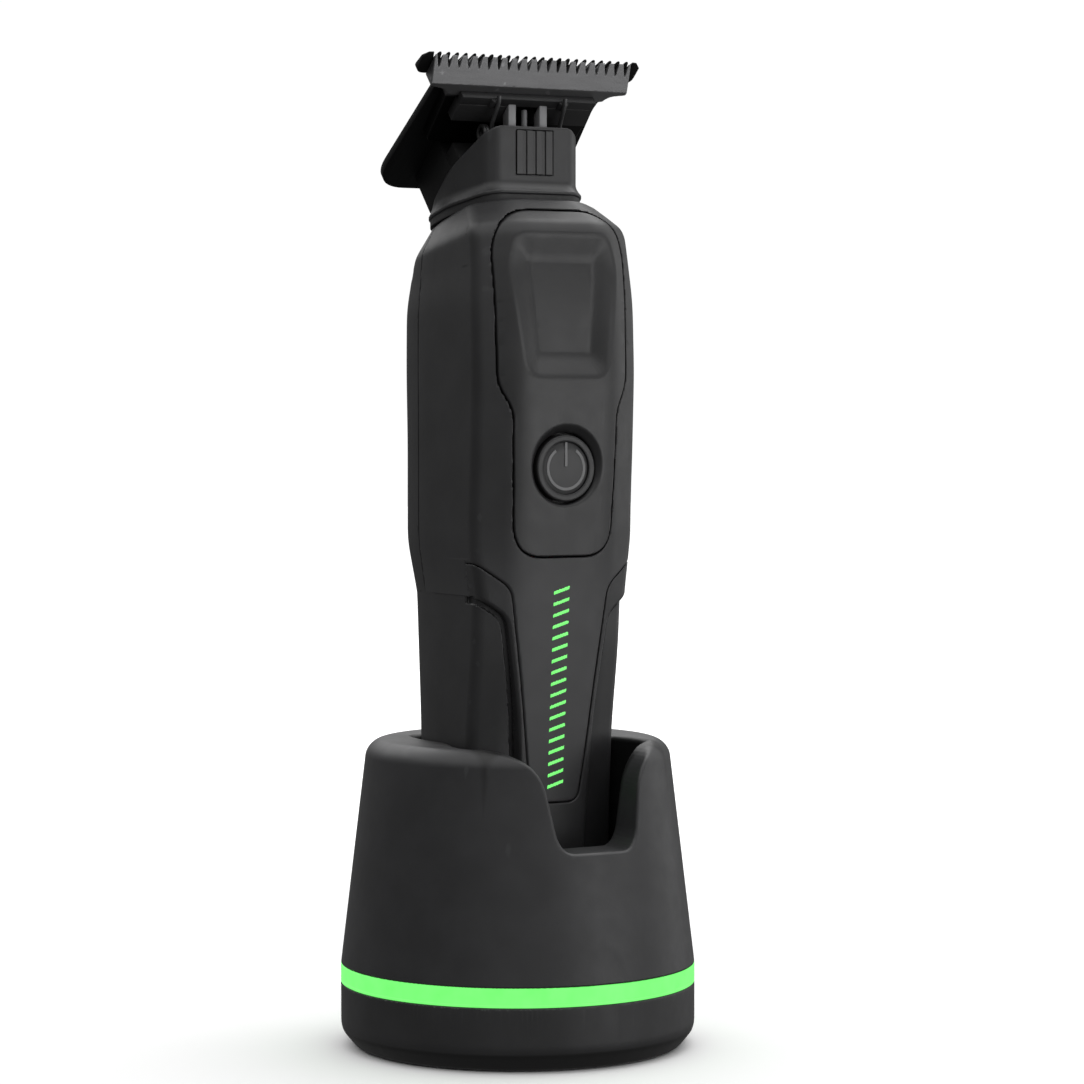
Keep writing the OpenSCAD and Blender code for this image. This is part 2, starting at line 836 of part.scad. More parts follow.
dock_shell();
light_ring();
base_tray();
foot_ring();
ballast_plate();
dock_board();
leds();
usb_socket();
contact_block();
contact_pins();
contact_springs();
dock_screws();
handle_sleeve();
bottom_cap();
charge_pads();
front_housing();
rear_housing();
spine_frame();
front_panel();
light_strip();
power_button();
button_icon();
button_seat();
tact_switch();
circuit_board();
battery();
inner_frame();
battery_leads();
motor_can();
motor_mount();
motor_screws();
rotor_shaft();
eccentric_cam();
neck_seal();
head_neck();
head_badge();
blade_base();
fixed_blade();
cutter_blade();
yoke();
blade_spring();
blade_screws();
housing_screws();
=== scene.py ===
"""A cordless T-blade hair clipper in its charging dock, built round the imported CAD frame.

Shapes are worked out in millimetres in the frame's axes and turned into metres when a mesh is made.
Most shells are the zero surface of a distance function, so that every edge gets its own fillet.
"""

import itertools
import json
import math

import bmesh
import bpy
import numpy as np
from mathutils import Matrix, Vector


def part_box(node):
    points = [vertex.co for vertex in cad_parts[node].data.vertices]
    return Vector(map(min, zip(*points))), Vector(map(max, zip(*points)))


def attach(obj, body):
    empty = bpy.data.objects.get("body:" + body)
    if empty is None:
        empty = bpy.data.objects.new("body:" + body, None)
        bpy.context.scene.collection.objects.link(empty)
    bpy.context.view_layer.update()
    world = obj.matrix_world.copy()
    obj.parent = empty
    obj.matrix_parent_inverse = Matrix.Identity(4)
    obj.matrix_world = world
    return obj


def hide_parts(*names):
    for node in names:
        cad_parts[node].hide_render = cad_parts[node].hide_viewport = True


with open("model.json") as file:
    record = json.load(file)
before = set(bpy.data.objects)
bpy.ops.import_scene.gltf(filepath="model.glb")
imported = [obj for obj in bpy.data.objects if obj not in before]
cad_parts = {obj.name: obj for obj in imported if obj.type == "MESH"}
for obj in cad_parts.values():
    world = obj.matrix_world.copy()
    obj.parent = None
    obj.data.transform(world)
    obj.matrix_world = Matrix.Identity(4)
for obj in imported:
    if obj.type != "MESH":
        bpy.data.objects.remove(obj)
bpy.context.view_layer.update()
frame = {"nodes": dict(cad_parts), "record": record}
nodes = frame["nodes"]
MM = 0.001


def node_box(node):
    """Lowest and highest corner of a CAD node in millimetres."""
    low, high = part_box(node)
    return np.array(low) / MM, np.array(high) / MM


# ---------------------------------------------------------------- driving sizes
DOCK_R = node_box("base_tray")[1][0]
DOCK_TOP = node_box("dock_shell")[1][2]
RING_LOW = node_box("light_ring")[0][2]
RING_HIGH = node_box("light_ring")[1][2]
FOOT_Z = node_box("handle_sleeve")[0][2]
SLEEVE_TOP = node_box("handle_sleeve")[1][2]
TOP_Z, SEAL_Z = 157.0, 158.4
LEAN_FROM, TOP_LEAN = 130, 0.25
GRIP_W = node_box("front_housing")[1][0]
HANDLE_W = node_box("handle_sleeve")[1][0]
DOCK_SLOPE = 0.1186
INNER_SLOPE = 0.17
RIM_R = 3.2
DOCK_WALL = 2.2
SOCKET_FLOOR = 21.5
NOTCH_Z = 38.9
# Painted shade: below the next height the tray is coloured black, where it faces down into shadow
TRAY_SHADE_Z = 3.4  # the tray is black below this height
FOOT_GROOVE_R, FOOT_GROOVE_HALF, FOOT_DEPTH = 26, 2.7, 1.4
WALL = 2.0
SPLIT_Y = 7.5
SEAM = 0.12
RAIL_GAP = 0.7  # width and depth of the gap in the sleeve round the spine frame
HOUSING_SCREWS = list(itertools.product((-13.2, 13.2), (99, 143)))
BUTTON_Z = 107.7
BUTTON_WELL_R, WELL_FLARE_Y = 6.5, 16.9
BUTTON_FACE_R, BUTTON_FACE_Y, BUTTON_HOLLOW = 4.6, 17.66, 0.16
DISH_DEPTH = 1.75
LIGHT_BARS, LIGHT_BAR_LEAN = 18, 0.294
LIGHT_BAR_HALF_W, LIGHT_BAR_HALF_H = 1.7, 0.35
SHAFT_Y = -1.6
PIN_OFFSET = 0.8
BADGE_HALF, BADGE_LOW, BADGE_HIGH, BADGE_BACK = 3.9, 161.4, 169.6, 5.85
COLLAR_PROUD, SEAL_PROUD, COLLAR_SIDE_LESS = 1.2, 0.92, 0.45
BLADE_TILT = math.radians(41)
TOOTH_TIP = np.array([0, -6.6, 182.9])
NECK_DEPTH = -9.1
FIXED_W = 46.0
CUTTER_W = 41.6
FIXED_PITCH = 1.8
CUTTER_PITCH = 2.08

# Side profiles of the clipper, as (height, distance)
GRIP_FRONT = [(20, 12.6), (47, 13.5), (68, 14.9), (86, 16.1), (108, 18), (125, 18.7), (137, 18.2),
              (144.1, 17.5), (149.3, 16.6), (151.4, 15.7), (157, 9.6)]
GRIP_REAR = [(20, 13.9), (61, 14.6), (84, 16), (93.5, 17.4), (112, 17.3), (125, 17.8), (140, 17.6),
             (146, 16.6), (150, 15.3), (157, 12.8)]
GRIP_HALF = [(20, HANDLE_W - 0.4), (84.3, HANDLE_W), (87, HANDLE_W + 0.4), (92, GRIP_W - 0.3),
             (95, GRIP_W), (138, GRIP_W), (144, GRIP_W - 0.5), (150.2, GRIP_W - 0.75),
             (151.6, GRIP_W - 1.2), (157, GRIP_W - 3.7)]
GRIP_BEVEL = [(84.3, 2.4), (92, 3.5), (104, 4.3)]
CORE_FRONT = [(20, 10.7), (47, 11.4), (59, 12), (67, 13.1), (75, 14.2), (86, 14.8)]
CORE_BEVEL = [(20, 2.8), (90, 2.8)]
# How far the profiles are smoothed at each height
EASE = [(20, 3), (78, 2.5), (83, 0.9), (97, 1.2), (101, 3), (140, 2.2), (147, 0.9), (151, 0.5),
        (157, 0.2)]


# ---------------------------------------------------------------- outlines
def bezier(a, b, c, n):
    t = np.linspace(0, 1, n + 1)[:, None]
    return (1 - t) ** 2 * a + 2 * t * (1 - t) * b + t**2 * c


def toward(p, q, r):
    return p + (q - p) * min(r / np.linalg.norm(q - p), 0.5)


def rounded(points, radii, n=5):
    """A closed outline with every corner rounded."""
    points = [np.array(p, float) for p in points]
    arcs = []
    for i, here in enumerate(points):
        before, after = points[i - 1], points[(i + 1) % len(points)]
        arcs.append(bezier(toward(here, before, radii[i]), here, toward(here, after, radii[i]), n))
    return np.concatenate(arcs)


def both_sides(half):
    return list(half) + [(-x, y) for x, y in reversed(list(half))]


def both(radii):
    return list(radii) + list(reversed(radii))


def densely(outline, gap):
    """The outline with extra points on its long stretches."""
    out = []
    for a, b in zip(outline, np.roll(outline, -1, 0)):
        steps = max(1, int(np.linalg.norm(b - a) / gap))
        out.append(a + (b - a) * np.linspace(0, 1, steps, endpoint=False)[:, None])
    return np.concatenate(out)


def section(half, front, rear, bevel):
    """The clipper's cross-section: front flat, front bevel, flat side and rounded back."""
    corners = [(0.55 * half, -front), (half, -front + bevel), (half, 0.43 * rear),
               (0.925 * half, 0.88 * rear), (0.55 * half, rear)]
    return rounded(both_sides(corners), both([3, 1.8, 5, 3, 4]), 24)


PANEL = rounded(both_sides([(7.2, 91.5), (10.2, 94.5), (10.8, 113), (10.8, 118), (13.5, 123),
                            (13.8, 147), (12.4, 151.6), (8, 154.6)]),
                both([3, 3, 2, 2, 2, 2, 2.5, 3]))
DISH_RIM = rounded(both_sides([(8.4, 124.3), (11.4, 144.6), (9.6, 150.2)]), both([3, 2.6, 2.2]))
DISH_FLOOR = rounded(both_sides([(5.6, 128.2), (7.2, 145.3), (6.8, 145.6)]), both([1.2, 0.6, 0.3]))
TONGUE = rounded(both_sides([(4.8, 46.3), (5.9, 53.3), (7.6, 68), (10.15, 86), (17.3, 91.2),
                             (17.3, 170)]), both([2, 3, 5, 2, 0.1, 0.1]))
SPINE = rounded(both_sides([(5.8, FOOT_Z), (8, 63), (10.7, 80.8), (17.3, 85.3), (17.3, 170)]),
                both([0.5, 5, 2, 0.1, 0.1]))
NECK_CORNERS = [(7.7, -6.3), (9.8, -4.8), (13, 2.4), (13, 10), (10, 12.8)]
NECK = rounded(both_sides(NECK_CORNERS), both([1, 1, 2, 3, 3]))
NECK_HOLLOW = np.array(both_sides([(6.4, -4.9), (8.2, -3.8), (10.8, 2.4), (10.8, 9), (8.6, 10.8)]))
NOTCH_SIDE = [np.array(p, float) for p in
              [(5, NOTCH_Z), (7.9, NOTCH_Z), (8.5, NOTCH_Z + 4.6), (9.5, NOTCH_Z + 10.6),
               (10.6, DOCK_TOP - 1.6), (17, DOCK_TOP + 0.1)]]
NOTCH_HALF = np.concatenate([bezier(*NOTCH_SIDE[:3], 8), bezier(*NOTCH_SIDE[3:], 12),
                             [(17, DOCK_TOP + 20)]])
NOTCH = np.array(both_sides([tuple(p) for p in NOTCH_HALF]))
SOCKET = rounded(both_sides([(10, -21), (19.2, -15.5), (18.6, -9.5), (16.3, -4), (16.3, 8.5),
                             (14.8, 14.6), (9.5, 15.6)]), both([4, 3, 3, 3, 4, 2, 3]))


# ---------------------------------------------------------------- distance functions
def inside_by(x, y, outline, moved=None):
    """Signed distance to a closed outline, negative inside.

    moved is (second outline, share): each corner lies that share of the way to its partner there,
    and share may vary in space.
    """
    corners = [tuple(p) for p in outline]
    if moved is not None:
        other, share = moved
        corners = [(p[0] + (q[0] - p[0]) * share, p[1] + (q[1] - p[1]) * share)
                   for p, q in zip(outline, other)]
    nearest, within = None, False
    for (ax, ay), (bx, by) in zip(corners, corners[1:] + corners[:1]):
        ex, ey = bx - ax, by - ay
        length = ex * ex + ey * ey + 1e-12
        t = np.clip(((x - ax) * ex + (y - ay) * ey) / length, 0, 1)
        d = (x - ax - ex * t) ** 2 + (y - ay - ey * t) ** 2
        nearest = d if nearest is None else np.minimum(nearest, d)
        spans = (ay > y) != (by > y)
        safe = np.where(np.abs(ey) < 1e-9, 1e-9, ey)
        within = within ^ (spans & (x < ax + ex * (y - ay) / safe))
    return np.where(within, -1.0, 1.0) * np.sqrt(nearest)


def meet(a, b, r=0.0):
    """What is in both a and b, with the edge between them rounded to radius r."""
    if not r:
        return np.maximum(a, b)
    return np.minimum(-r, np.maximum(a, b)) + np.hypot(np.maximum(a + r, 0), np.maximum(b + r, 0))


def cut(a, b, r=0.0):
    return meet(a, -b, r)


def eased(heights, table):
    """A profile at each height, averaged over the neighbourhood that EASE gives."""
    zs, values = zip(*table)
    spread = np.interp(heights, *zip(*EASE))
    offsets = np.linspace(-2, 2, 17)
    weights = np.exp(-offsets**2 / 2)
    total = sum(w * np.interp(heights + o * spread, zs, values) for o, w in zip(offsets, weights))
    return total / weights.sum()


class Skin:
    """The distance to a body whose cross-section changes with height."""

    TURNS = 2880

    def __init__(self, half, front, rear, bevel, low, high, step=0.2):
        self.low, self.step = low, step
        heights = np.arange(low, high + step, step)
        angles = np.linspace(0, 2 * np.pi, self.TURNS, endpoint=False)
        rows = []
        for sizes in zip(*(eased(heights, table) for table in (half, front, rear, bevel))):
            outline = densely(section(*sizes), 0.05)
            around = np.arctan2(outline[:, 1], outline[:, 0]) % (2 * np.pi)
            order = np.argsort(around)
            rows.append(np.interp(angles, around[order], np.hypot(*outline[order].T),
                                  period=2 * np.pi))
        self.radius = np.array(rows)
        turn = (np.roll(self.radius, -1, 1) - np.roll(self.radius, 1, 1)) / (2 * angles[1])
        rise = np.gradient(self.radius, step, axis=0)
        self.flatten = 1 / np.sqrt(1 + (turn / self.radius) ** 2 + rise**2)

    def __call__(self, x, y, z):
        a = (np.arctan2(y, x) / (2 * np.pi)) % 1 * self.TURNS
        b = np.clip((z - self.low) / self.step, 0, len(self.radius) - 1.001)
        i, k = np.floor(a).astype(int) % self.TURNS, np.floor(b).astype(int)
        s, t, j = a - np.floor(a), b - k, (i + 1) % self.TURNS

        def pick(table):
            return ((table[k, i] * (1 - s) + table[k, j] * s) * (1 - t)
                    + (table[k + 1, i] * (1 - s) + table[k + 1, j] * s) * t)

        return (np.hypot(x, y) - pick(self.radius)) * pick(self.flatten)


grip_skin = Skin(GRIP_HALF, GRIP_FRONT, GRIP_REAR, GRIP_BEVEL, 20, 158)
core_skin = Skin(GRIP_HALF, CORE_FRONT, GRIP_REAR, CORE_BEVEL, 20, 92)


def upright(y, z):
    """The height a point would have if the top of the body didn't lean down to the rear."""
    rate = TOP_LEAN / (TOP_Z - LEAN_FROM)
    return z + np.maximum(z - LEAN_FROM, 0) * (1 / (1 - rate * (y + 10)) - 1)


def grip(x, y, z):
    level = upright(y, z)
    return meet(grip_skin(x, y, level), level - TOP_Z, 0.6)


def shell(skin, thickness):
    return np.maximum(skin, -skin - thickness)


# ---------------------------------------------------------------- meshes
def sampled(f, low, high, step, block=6):
    """f at the points of a grid, worked out only in the blocks that its surface may cross."""
    blocks = [max(1, math.ceil((b - a) / (step * block))) for a, b in zip(low, high)]
    shape = [n * block + 1 for n in blocks]
    side = step * block
    middle = [a + side * (np.arange(n) + 0.5) for a, n in zip(low, blocks)]
    coarse = np.broadcast_to(f(middle[0][:, None, None], middle[1][None, :, None],
                               middle[2][None, None, :]), blocks)
    values = np.repeat(np.repeat(np.repeat(coarse, block, 0), block, 1), block, 2)
    values = np.pad(values, ((0, 1),) * 3, mode="edge").astype(np.float32)
    near = np.argwhere(np.abs(coarse) < side * 1.15)
    steps = np.arange(block + 1)
    for part in np.array_split(near, max(1, len(near) // 4000)):
        i, j, k = (part[:, n, None] * block + steps for n in range(3))
        i, j, k = i[:, :, None, None], j[:, None, :, None], k[:, None, None, :]
        values[i, j, k] = f(low[0] + step * i, low[1] + step * j, low[2] + step * k)
    return values, shape


def surface(f, low, high, step):
    """The points and quads of the surface f = 0 between two corners."""
    values, shape = sampled(f, low, high, step)
    within = values < 0
    count = sum(within[i:shape[0] - 1 + i, j:shape[1] - 1 + j, k:shape[2] - 1 + k].astype(np.int8)
                for i, j, k in itertools.product((0, 1), repeat=3))
    cells = np.argwhere((count > 0) & (count < 8))
    at = {o: values[tuple((cells + o).T)] for o in itertools.product((0, 1), repeat=3)}
    total, hits = np.zeros((len(cells), 3)), np.zeros(len(cells))
    for o in at:
        for axis in range(3):
            if o[axis]:
                continue
            p = tuple(v + (n == axis) for n, v in enumerate(o))
            crossed = (at[o] < 0) != (at[p] < 0)
            t = at[o][crossed] / (at[o][crossed] - at[p][crossed])
            total[crossed] += o
            total[crossed, axis] += t
            hits += crossed
    points = np.array(low) + step * (cells + total / hits[:, None])
    index = np.full([n - 1 for n in shape], -1)
    index[tuple(cells.T)] = np.arange(len(cells))
    quads = []
    for axis in range(3):
        u, v = np.eye(3, dtype=int)[(axis + 1) % 3], np.eye(3, dtype=int)[(axis + 2) % 3]
        first = within.take(range(shape[axis] - 1), axis)
        change = first != within.take(range(1, shape[axis]), axis)
        e = np.argwhere(change)
        quad = np.stack([index[tuple((e - d).T)] for d in (0 * u, u, u + v, v)], 1)
        turned = ~first[tuple(e.T)]
        quad[turned] = quad[turned][:, ::-1]
        quads.append(quad)
    return points, np.concatenate(quads)


def slope(f, points, reach=0.04):
    """The gradient of f at each point."""
    out = np.zeros_like(points)
    for corner in np.array([(1, -1, -1), (-1, -1, 1), (-1, 1, -1), (1, 1, 1)]):
        out += corner * f(*(points + corner * reach).T)[:, None]
    return out / (4 * reach)


def settle(f, points, limit, rounds=2):
    """The points moved onto the surface f = 0."""
    for _ in range(rounds):
        g = slope(f, points)
        move = g * (f(*points.T) / np.maximum((g**2).sum(1), 0.3))[:, None]
        size = np.linalg.norm(move, axis=1)[:, None]
        points = points - move * np.minimum(1, limit / np.maximum(size, 1e-9))
    return points


def relax(points, faces, rounds=2):
    """The points moved half-way to the middle of their neighbours."""
    a = np.concatenate([faces[:, i] for i in range(4)])
    b = np.concatenate([faces[:, (i + 1) % 4] for i in range(4)])
    one, two = np.concatenate([a, b]), np.concatenate([b, a])
    share = np.bincount(one, minlength=len(points)).clip(1)
    for _ in range(rounds):
        middle = np.stack([np.bincount(one, points[two, k], len(points)) for k in range(3)], 1)
        points = (points + middle / share[:, None]) / 2
    return points


def link(obj):
    bpy.context.scene.collection.objects.link(obj)
    return obj


def mesh_from(name, points, faces):
    """A mesh in metres from points in millimetres and faces of one size."""
    mesh = bpy.data.meshes.new(name)
    sides = faces.shape[1]
    mesh.vertices.add(len(points))
    mesh.vertices.foreach_set("co", (points * MM).astype(np.float32).ravel())
    mesh.loops.add(faces.size)
    mesh.loops.foreach_set("vertex_index", faces.astype(np.int32).ravel())
    mesh.polygons.add(len(faces))
    mesh.polygons.foreach_set("loop_start", np.arange(0, faces.size, sides, dtype=np.int32))
    mesh.update(calc_edges=True)
    mesh.validate()
    return mesh


def applied(obj):
    """A new mesh of the object with its modifiers or bevel applied."""
    return bpy.data.meshes.new_from_object(
        obj.evaluated_get(bpy.context.evaluated_depsgraph_get()))


def solid(name, f, low, high, step, keep=0.3):
    """A closed piece whose surface is f = 0, thinned out where it is flat."""
    points, faces = surface(f, low, high, step)
    points = settle(f, relax(settle(f, points, step / 2, 1), faces), step / 2)
    obj = link(bpy.data.objects.new(name, mesh_from(name, points, faces)))
    thin = obj.modifiers.new("thin", "DECIMATE")
    thin.ratio = keep
    thinned = applied(obj)
    obj.modifiers.clear()
    obj.data = thinned
    points = np.empty(len(thinned.vertices) * 3, np.float32)
    thinned.vertices.foreach_get("co", points)
    points = settle(f, points.reshape(-1, 3).astype(float) / MM, step / 4)
    thinned.vertices.foreach_set("co", (points * MM).astype(np.float32).ravel())
    thinned.polygons.foreach_set("use_smooth", [True] * len(thinned.polygons))
    g = slope(f, points, min(0.08, step / 2))
    g /= np.maximum(np.linalg.norm(g, axis=1), 1e-9)[:, None]
    thinned.normals_split_custom_set_from_vertices(g.tolist())
    thinned.update()
    return obj


def lathe(name, profile, axis="z", turns=192):
    """A closed piece turned from (radius, height) points; with axis "y" height is forwards."""
    profile = np.array(profile, float)
    angles = np.linspace(0, 2 * np.pi, turns, endpoint=False)
    r, h = profile[:, 0][None, :], profile[:, 1][None, :]
    c, s = np.cos(angles)[:, None], np.sin(angles)[:, None]
    points = np.stack([r * c, r * s, np.broadcast_to(h, (turns, len(profile)))], 2).reshape(-1, 3)
    if axis == "y":
        points = np.stack([points[:, 0], -points[:, 2], points[:, 1]], 1)
    n = len(profile)
    k, i = np.meshgrid(np.arange(turns), np.arange(n), indexing="ij")
    a, b = k * n + i, k * n + (i + 1) % n
    c2, d = (k + 1) % turns * n + (i + 1) % n, (k + 1) % turns * n + i
    faces = np.stack([a, d, c2, b], 2).reshape(-1, 4)
    obj = link(bpy.data.objects.new(name, mesh_from(name, points, faces)))
    bm = bmesh.new()
    bm.from_mesh(obj.data)
    bmesh.ops.remove_doubles(bm, verts=bm.verts, dist=1e-7)
    bmesh.ops.dissolve_degenerate(bm, dist=1e-7, edges=bm.edges)
    bmesh.ops.recalc_face_normals(bm, faces=bm.faces)
    bm.to_mesh(obj.data)
    bm.free()
    soften(obj)
    return obj


def soften(obj, degrees=32):
    """Smooth shading, broken at the sharp edges."""
    obj.data.polygons.foreach_set("use_smooth", [True] * len(obj.data.polygons))
    obj.data.set_sharp_from_angle(angle=math.radians(degrees))
    obj.data.update()


def piece(name, bm, bevel=0.0, segments=2, degrees=32):
    """An object from a bmesh in millimetres, with its sharp edges bevelled."""
    bmesh.ops.recalc_face_normals(bm, faces=bm.faces)
    if bevel:
        least = math.radians(degrees)
        sharp = [e for e in bm.edges if e.is_manifold and e.calc_face_angle(0) > least]
        bmesh.ops.bevel(bm, geom=sharp, offset=bevel, segments=segments, profile=0.5,
                        affect="EDGES", clamp_overlap=True)
    bmesh.ops.scale(bm, vec=(MM, MM, MM), verts=bm.verts)
    mesh = bpy.data.meshes.new(name)
    bm.to_mesh(mesh)
    bm.free()
    obj = link(bpy.data.objects.new(name, mesh))
    soften(obj)
    return obj


def prism(bm, outline, low, high):
    """Adds an upright prism over an outline and returns its vertices."""
    base = [bm.verts.new((x, y, low)) for x, y in outline]
    top = [bm.verts.new((x, y, high)) for x, y in outline]
    bm.faces.new(base[::-1])
    bm.faces.new(top)
    for i in range(len(base)):
        j = (i + 1) % len(base)
        bm.faces.new((base[i], base[j], top[j], top[i]))
    return base + top


def block(bm, low, high, matrix=None):
    """Adds a box and returns its vertices."""
    verts = prism(bm, [(low[0], low[1]), (high[0], low[1]), (high[0], high[1]), (low[0], high[1])],
                  low[2], high[2])
    if matrix is not None:
        bmesh.ops.transform(bm, matrix=matrix, verts=verts)
    return verts


def wire(name, points, radius):
    """A round wire along points in millimetres."""
    curve = bpy.data.curves.new(name, "CURVE")
    curve.dimensions = "3D"
    curve.bevel_depth = radius * MM
    curve.bevel_resolution = 6
    curve.use_fill_caps = True
    spline = curve.splines.new("POLY")
    spline.points.add(len(points) - 1)
    for p, co in zip(spline.points, points):
        p.co = (*(c * MM for c in co), 1)
    source = bpy.data.objects.new(name, curve)
    link(source)
    mesh = applied(source)
    bpy.data.objects.remove(source)
    mesh.name = name
    obj = link(bpy.data.objects.new(name, mesh))
    soften(obj, 50)
    return obj


# The blades' own frame: x across, y down the slope from the tooth tips, z out of the skin side
ON_BLADE = Matrix.Translation(Vector(TOOTH_TIP)) @ Matrix.Rotation(-BLADE_TILT, 4, "X")


def blade_place(x, y, z):
    """Where a point lies in the blades' frame: (down the slope, out of the skin side)."""
    dy, dz = y - TOOTH_TIP[1], z - TOOTH_TIP[2]
    c, s = math.cos(BLADE_TILT), math.sin(BLADE_TILT)
    return dy * c - dz * s, dy * s + dz * c


# ---------------------------------------------------------------- materials
def nodes_of(name):
    mat = bpy.data.materials.new(name)
    mat.use_nodes = True
    tree = mat.node_tree
    return mat, tree, tree.nodes["Principled BSDF"]


def add(tree, kind, **settings):
    node = tree.nodes.new("ShaderNode" + kind)
    for key, value in settings.items():
        if hasattr(node, key):
            setattr(node, key, value)
        else:
            node.inputs[key.replace("_", " ")].default_value = value
    return node


def in_mm(tree, stretch=(1, 1, 1)):
    """Texture coordinates in millimetres."""
    where = add(tree, "TexCoord")
    scale = add(tree, "Mapping")
    scale.inputs["Scale"].default_value = [s / MM for s in stretch]
    tree.links.new(where.outputs["Object"], scale.inputs["Vector"])
    return scale.outputs["Vector"]


def noise(tree, coords, per_mm, detail=2.0, roughness=0.5):
    node = add(tree, "TexNoise", Scale=per_mm, Detail=detail, Roughness=roughness)
    tree.links.new(coords, node.inputs["Vector"])
    return node.outputs["Fac"]


def ranged(tree, value, low, high, to_low, to_high):
    node = add(tree, "MapRange")
    for socket, number in zip(("From Min", "From Max", "To Min", "To Max"),
                              (low, high, to_low, to_high)):
        node.inputs[socket].default_value = number
    tree.links.new(value, node.inputs["Value"])
    return node.outputs["Result"]


def blended(tree, share, first, second):
    """A mix of two colours, or of a colour socket and a colour."""
    mix = add(tree, "Mix", data_type="RGBA")
    tree.links.new(share, mix.inputs["Factor"])
    for socket, value in ((mix.inputs[6], first), (mix.inputs[7], second)):
        if hasattr(value, "is_linked"):
            tree.links.new(value, socket)
        else:
            socket.default_value = (*value, 1)
    return mix.outputs[2]


def measured(tree, coords, operation, other=(0, 0, 0)):
    """One number from a vector: its length, or its dot product with another."""
    math_node = add(tree, "VectorMath", operation=operation)
    tree.links.new(coords, math_node.inputs[0])
    math_node.inputs[1].default_value = other
    return math_node.outputs["Value"]


def tinted(mat, share, other):
    """The material's colour turns to the other where share is 0."""
    tree = mat.node_tree
    colour = tree.nodes["Principled BSDF"].inputs["Base Color"]
    before = colour.links[0].from_socket
    tree.links.new(blended(tree, share(tree, in_mm(tree)), other, before), colour)


def along(axis, low, high):
    """0 to 1 as a position along an axis goes from low to high."""
    def share(tree, coords):
        return ranged(tree, measured(tree, coords, "DOT_PRODUCT", axis), low, high, 0, 1)

    return share


def out_of_socket(tree, coords):
    """0 in the dock's socket, which is painted black as shade, and 1 outside."""
    low, high = np.min(SOCKET, axis=0), np.max(SOCKET, axis=0)
    centred = add(tree, "VectorMath", operation="SUBTRACT")
    tree.links.new(coords, centred.inputs[0])
    centred.inputs[1].default_value = (*((low + high) / 2), 0)
    scaled = add(tree, "VectorMath", operation="DIVIDE")
    tree.links.new(centred.outputs["Vector"], scaled.inputs[0])
    scaled.inputs[1].default_value = (*((high - low) / 2), 1e6)
    size = add(tree, "VectorMath", operation="ABSOLUTE")
    tree.links.new(scaled.outputs["Vector"], size.inputs[0])
    parts = add(tree, "SeparateXYZ")
    tree.links.new(size.outputs["Vector"], parts.inputs[0])
    widest = add(tree, "Math", operation="MAXIMUM")
    tree.links.new(parts.outputs["X"], widest.inputs[0])
    tree.links.new(parts.outputs["Y"], widest.inputs[1])
    return ranged(tree, widest.outputs["Value"], 1.0, 1.05, 0, 1)


def edges(tree, low=0.535, high=0.6):
    """1 along convex edges and 0 elsewhere."""
    geometry = add(tree, "NewGeometry")
    return ranged(tree, geometry.outputs["Pointiness"], low, high, 0, 1)


def bump(tree, shader, height, depth):
    """A bump of so many millimetres."""
    node = add(tree, "Bump", Strength=1.0, Distance=depth * MM)
    tree.links.new(height, node.inputs["Height"])
    tree.links.new(node.outputs["Normal"], shader.inputs["Normal"])


def scaled_by(colour, factor, offset=0.0):
    return tuple(min(1, c * factor + offset) for c in colour)


def moulded(name, colour, rough, specular=0.5, grain=5.0, depth=0.006):
    """Moulded plastic or rubber with a fine grain, cloudy colour and paler edges, a painted
    highlight with some wear.
    """
    mat, tree, shader = nodes_of(name)
    coords = in_mm(tree)
    cloud = noise(tree, coords, 0.12, 3)
    base = blended(tree, ranged(tree, cloud, 0.35, 0.65, 0, 1), scaled_by(colour, 0.88),
                   scaled_by(colour, 1.14))
    # Paler convex edges: painted highlight along with edge wear
    edge_wear_and_highlight = blended(tree, edges(tree), base, scaled_by(colour, 1.35, 0.002))
    tree.links.new(edge_wear_and_highlight, shader.inputs["Base Color"])
    smear = noise(tree, coords, 0.35, 4)
    tree.links.new(ranged(tree, smear, 0.3, 0.7, rough - 0.03, rough + 0.03),
                   shader.inputs["Roughness"])
    shader.inputs["Specular IOR Level"].default_value = specular
    bump(tree, shader, noise(tree, coords, grain, 2), depth)
    return mat


def metal(name, colour, rough, metallic=1.0, stretch=(1, 1, 1), grain=6.0, depth=0.004,
          specular=0.5):
    """Ground, plated or coated metal with fine marks and brighter edges, a painted highlight with
    some wear.
    """
    mat, tree, shader = nodes_of(name)
    coords = in_mm(tree, stretch)
    marks = noise(tree, coords, grain, 3, 0.6)
    base = blended(tree, ranged(tree, marks, 0.3, 0.7, 0, 1), scaled_by(colour, 0.85),
                   scaled_by(colour, 1.15))
    # Brighter convex edges: painted highlight along with edge wear
    edge_wear_and_highlight = blended(tree, edges(tree, 0.52, 0.62), base, scaled_by(colour, 1.5, 0.01))
    tree.links.new(edge_wear_and_highlight, shader.inputs["Base Color"])
    shader.inputs["Metallic"].default_value = metallic
    tree.links.new(ranged(tree, noise(tree, coords, 0.4, 3), 0.3, 0.7, rough - 0.05, rough + 0.05),
                   shader.inputs["Roughness"])
    shader.inputs["Specular IOR Level"].default_value = specular
    bump(tree, shader, marks, depth)
    return mat


def glowing(name, colour):
    """Translucent plastic lit from inside, a little cloudy."""
    mat, tree, shader = nodes_of(name)
    coords = in_mm(tree)
    cloud = ranged(tree, noise(tree, coords, 0.3, 2), 0.3, 0.7, 0, 1)
    glow = blended(tree, cloud, scaled_by(colour, 0.93), scaled_by(colour, 1.06))
    tree.links.new(glow, shader.inputs["Emission Color"])
    shader.inputs["Emission Strength"].default_value = 1.0
    tint = blended(tree, cloud, (0.01, 0.12, 0.01), (0.015, 0.16, 0.015))
    tree.links.new(tint, shader.inputs["Base Color"])
    tree.links.new(ranged(tree, noise(tree, coords, 2, 2), 0.3, 0.7, 0.28, 0.36),
                   shader.inputs["Roughness"])
    bump(tree, shader, noise(tree, coords, 4, 2), 0.003)
    return mat


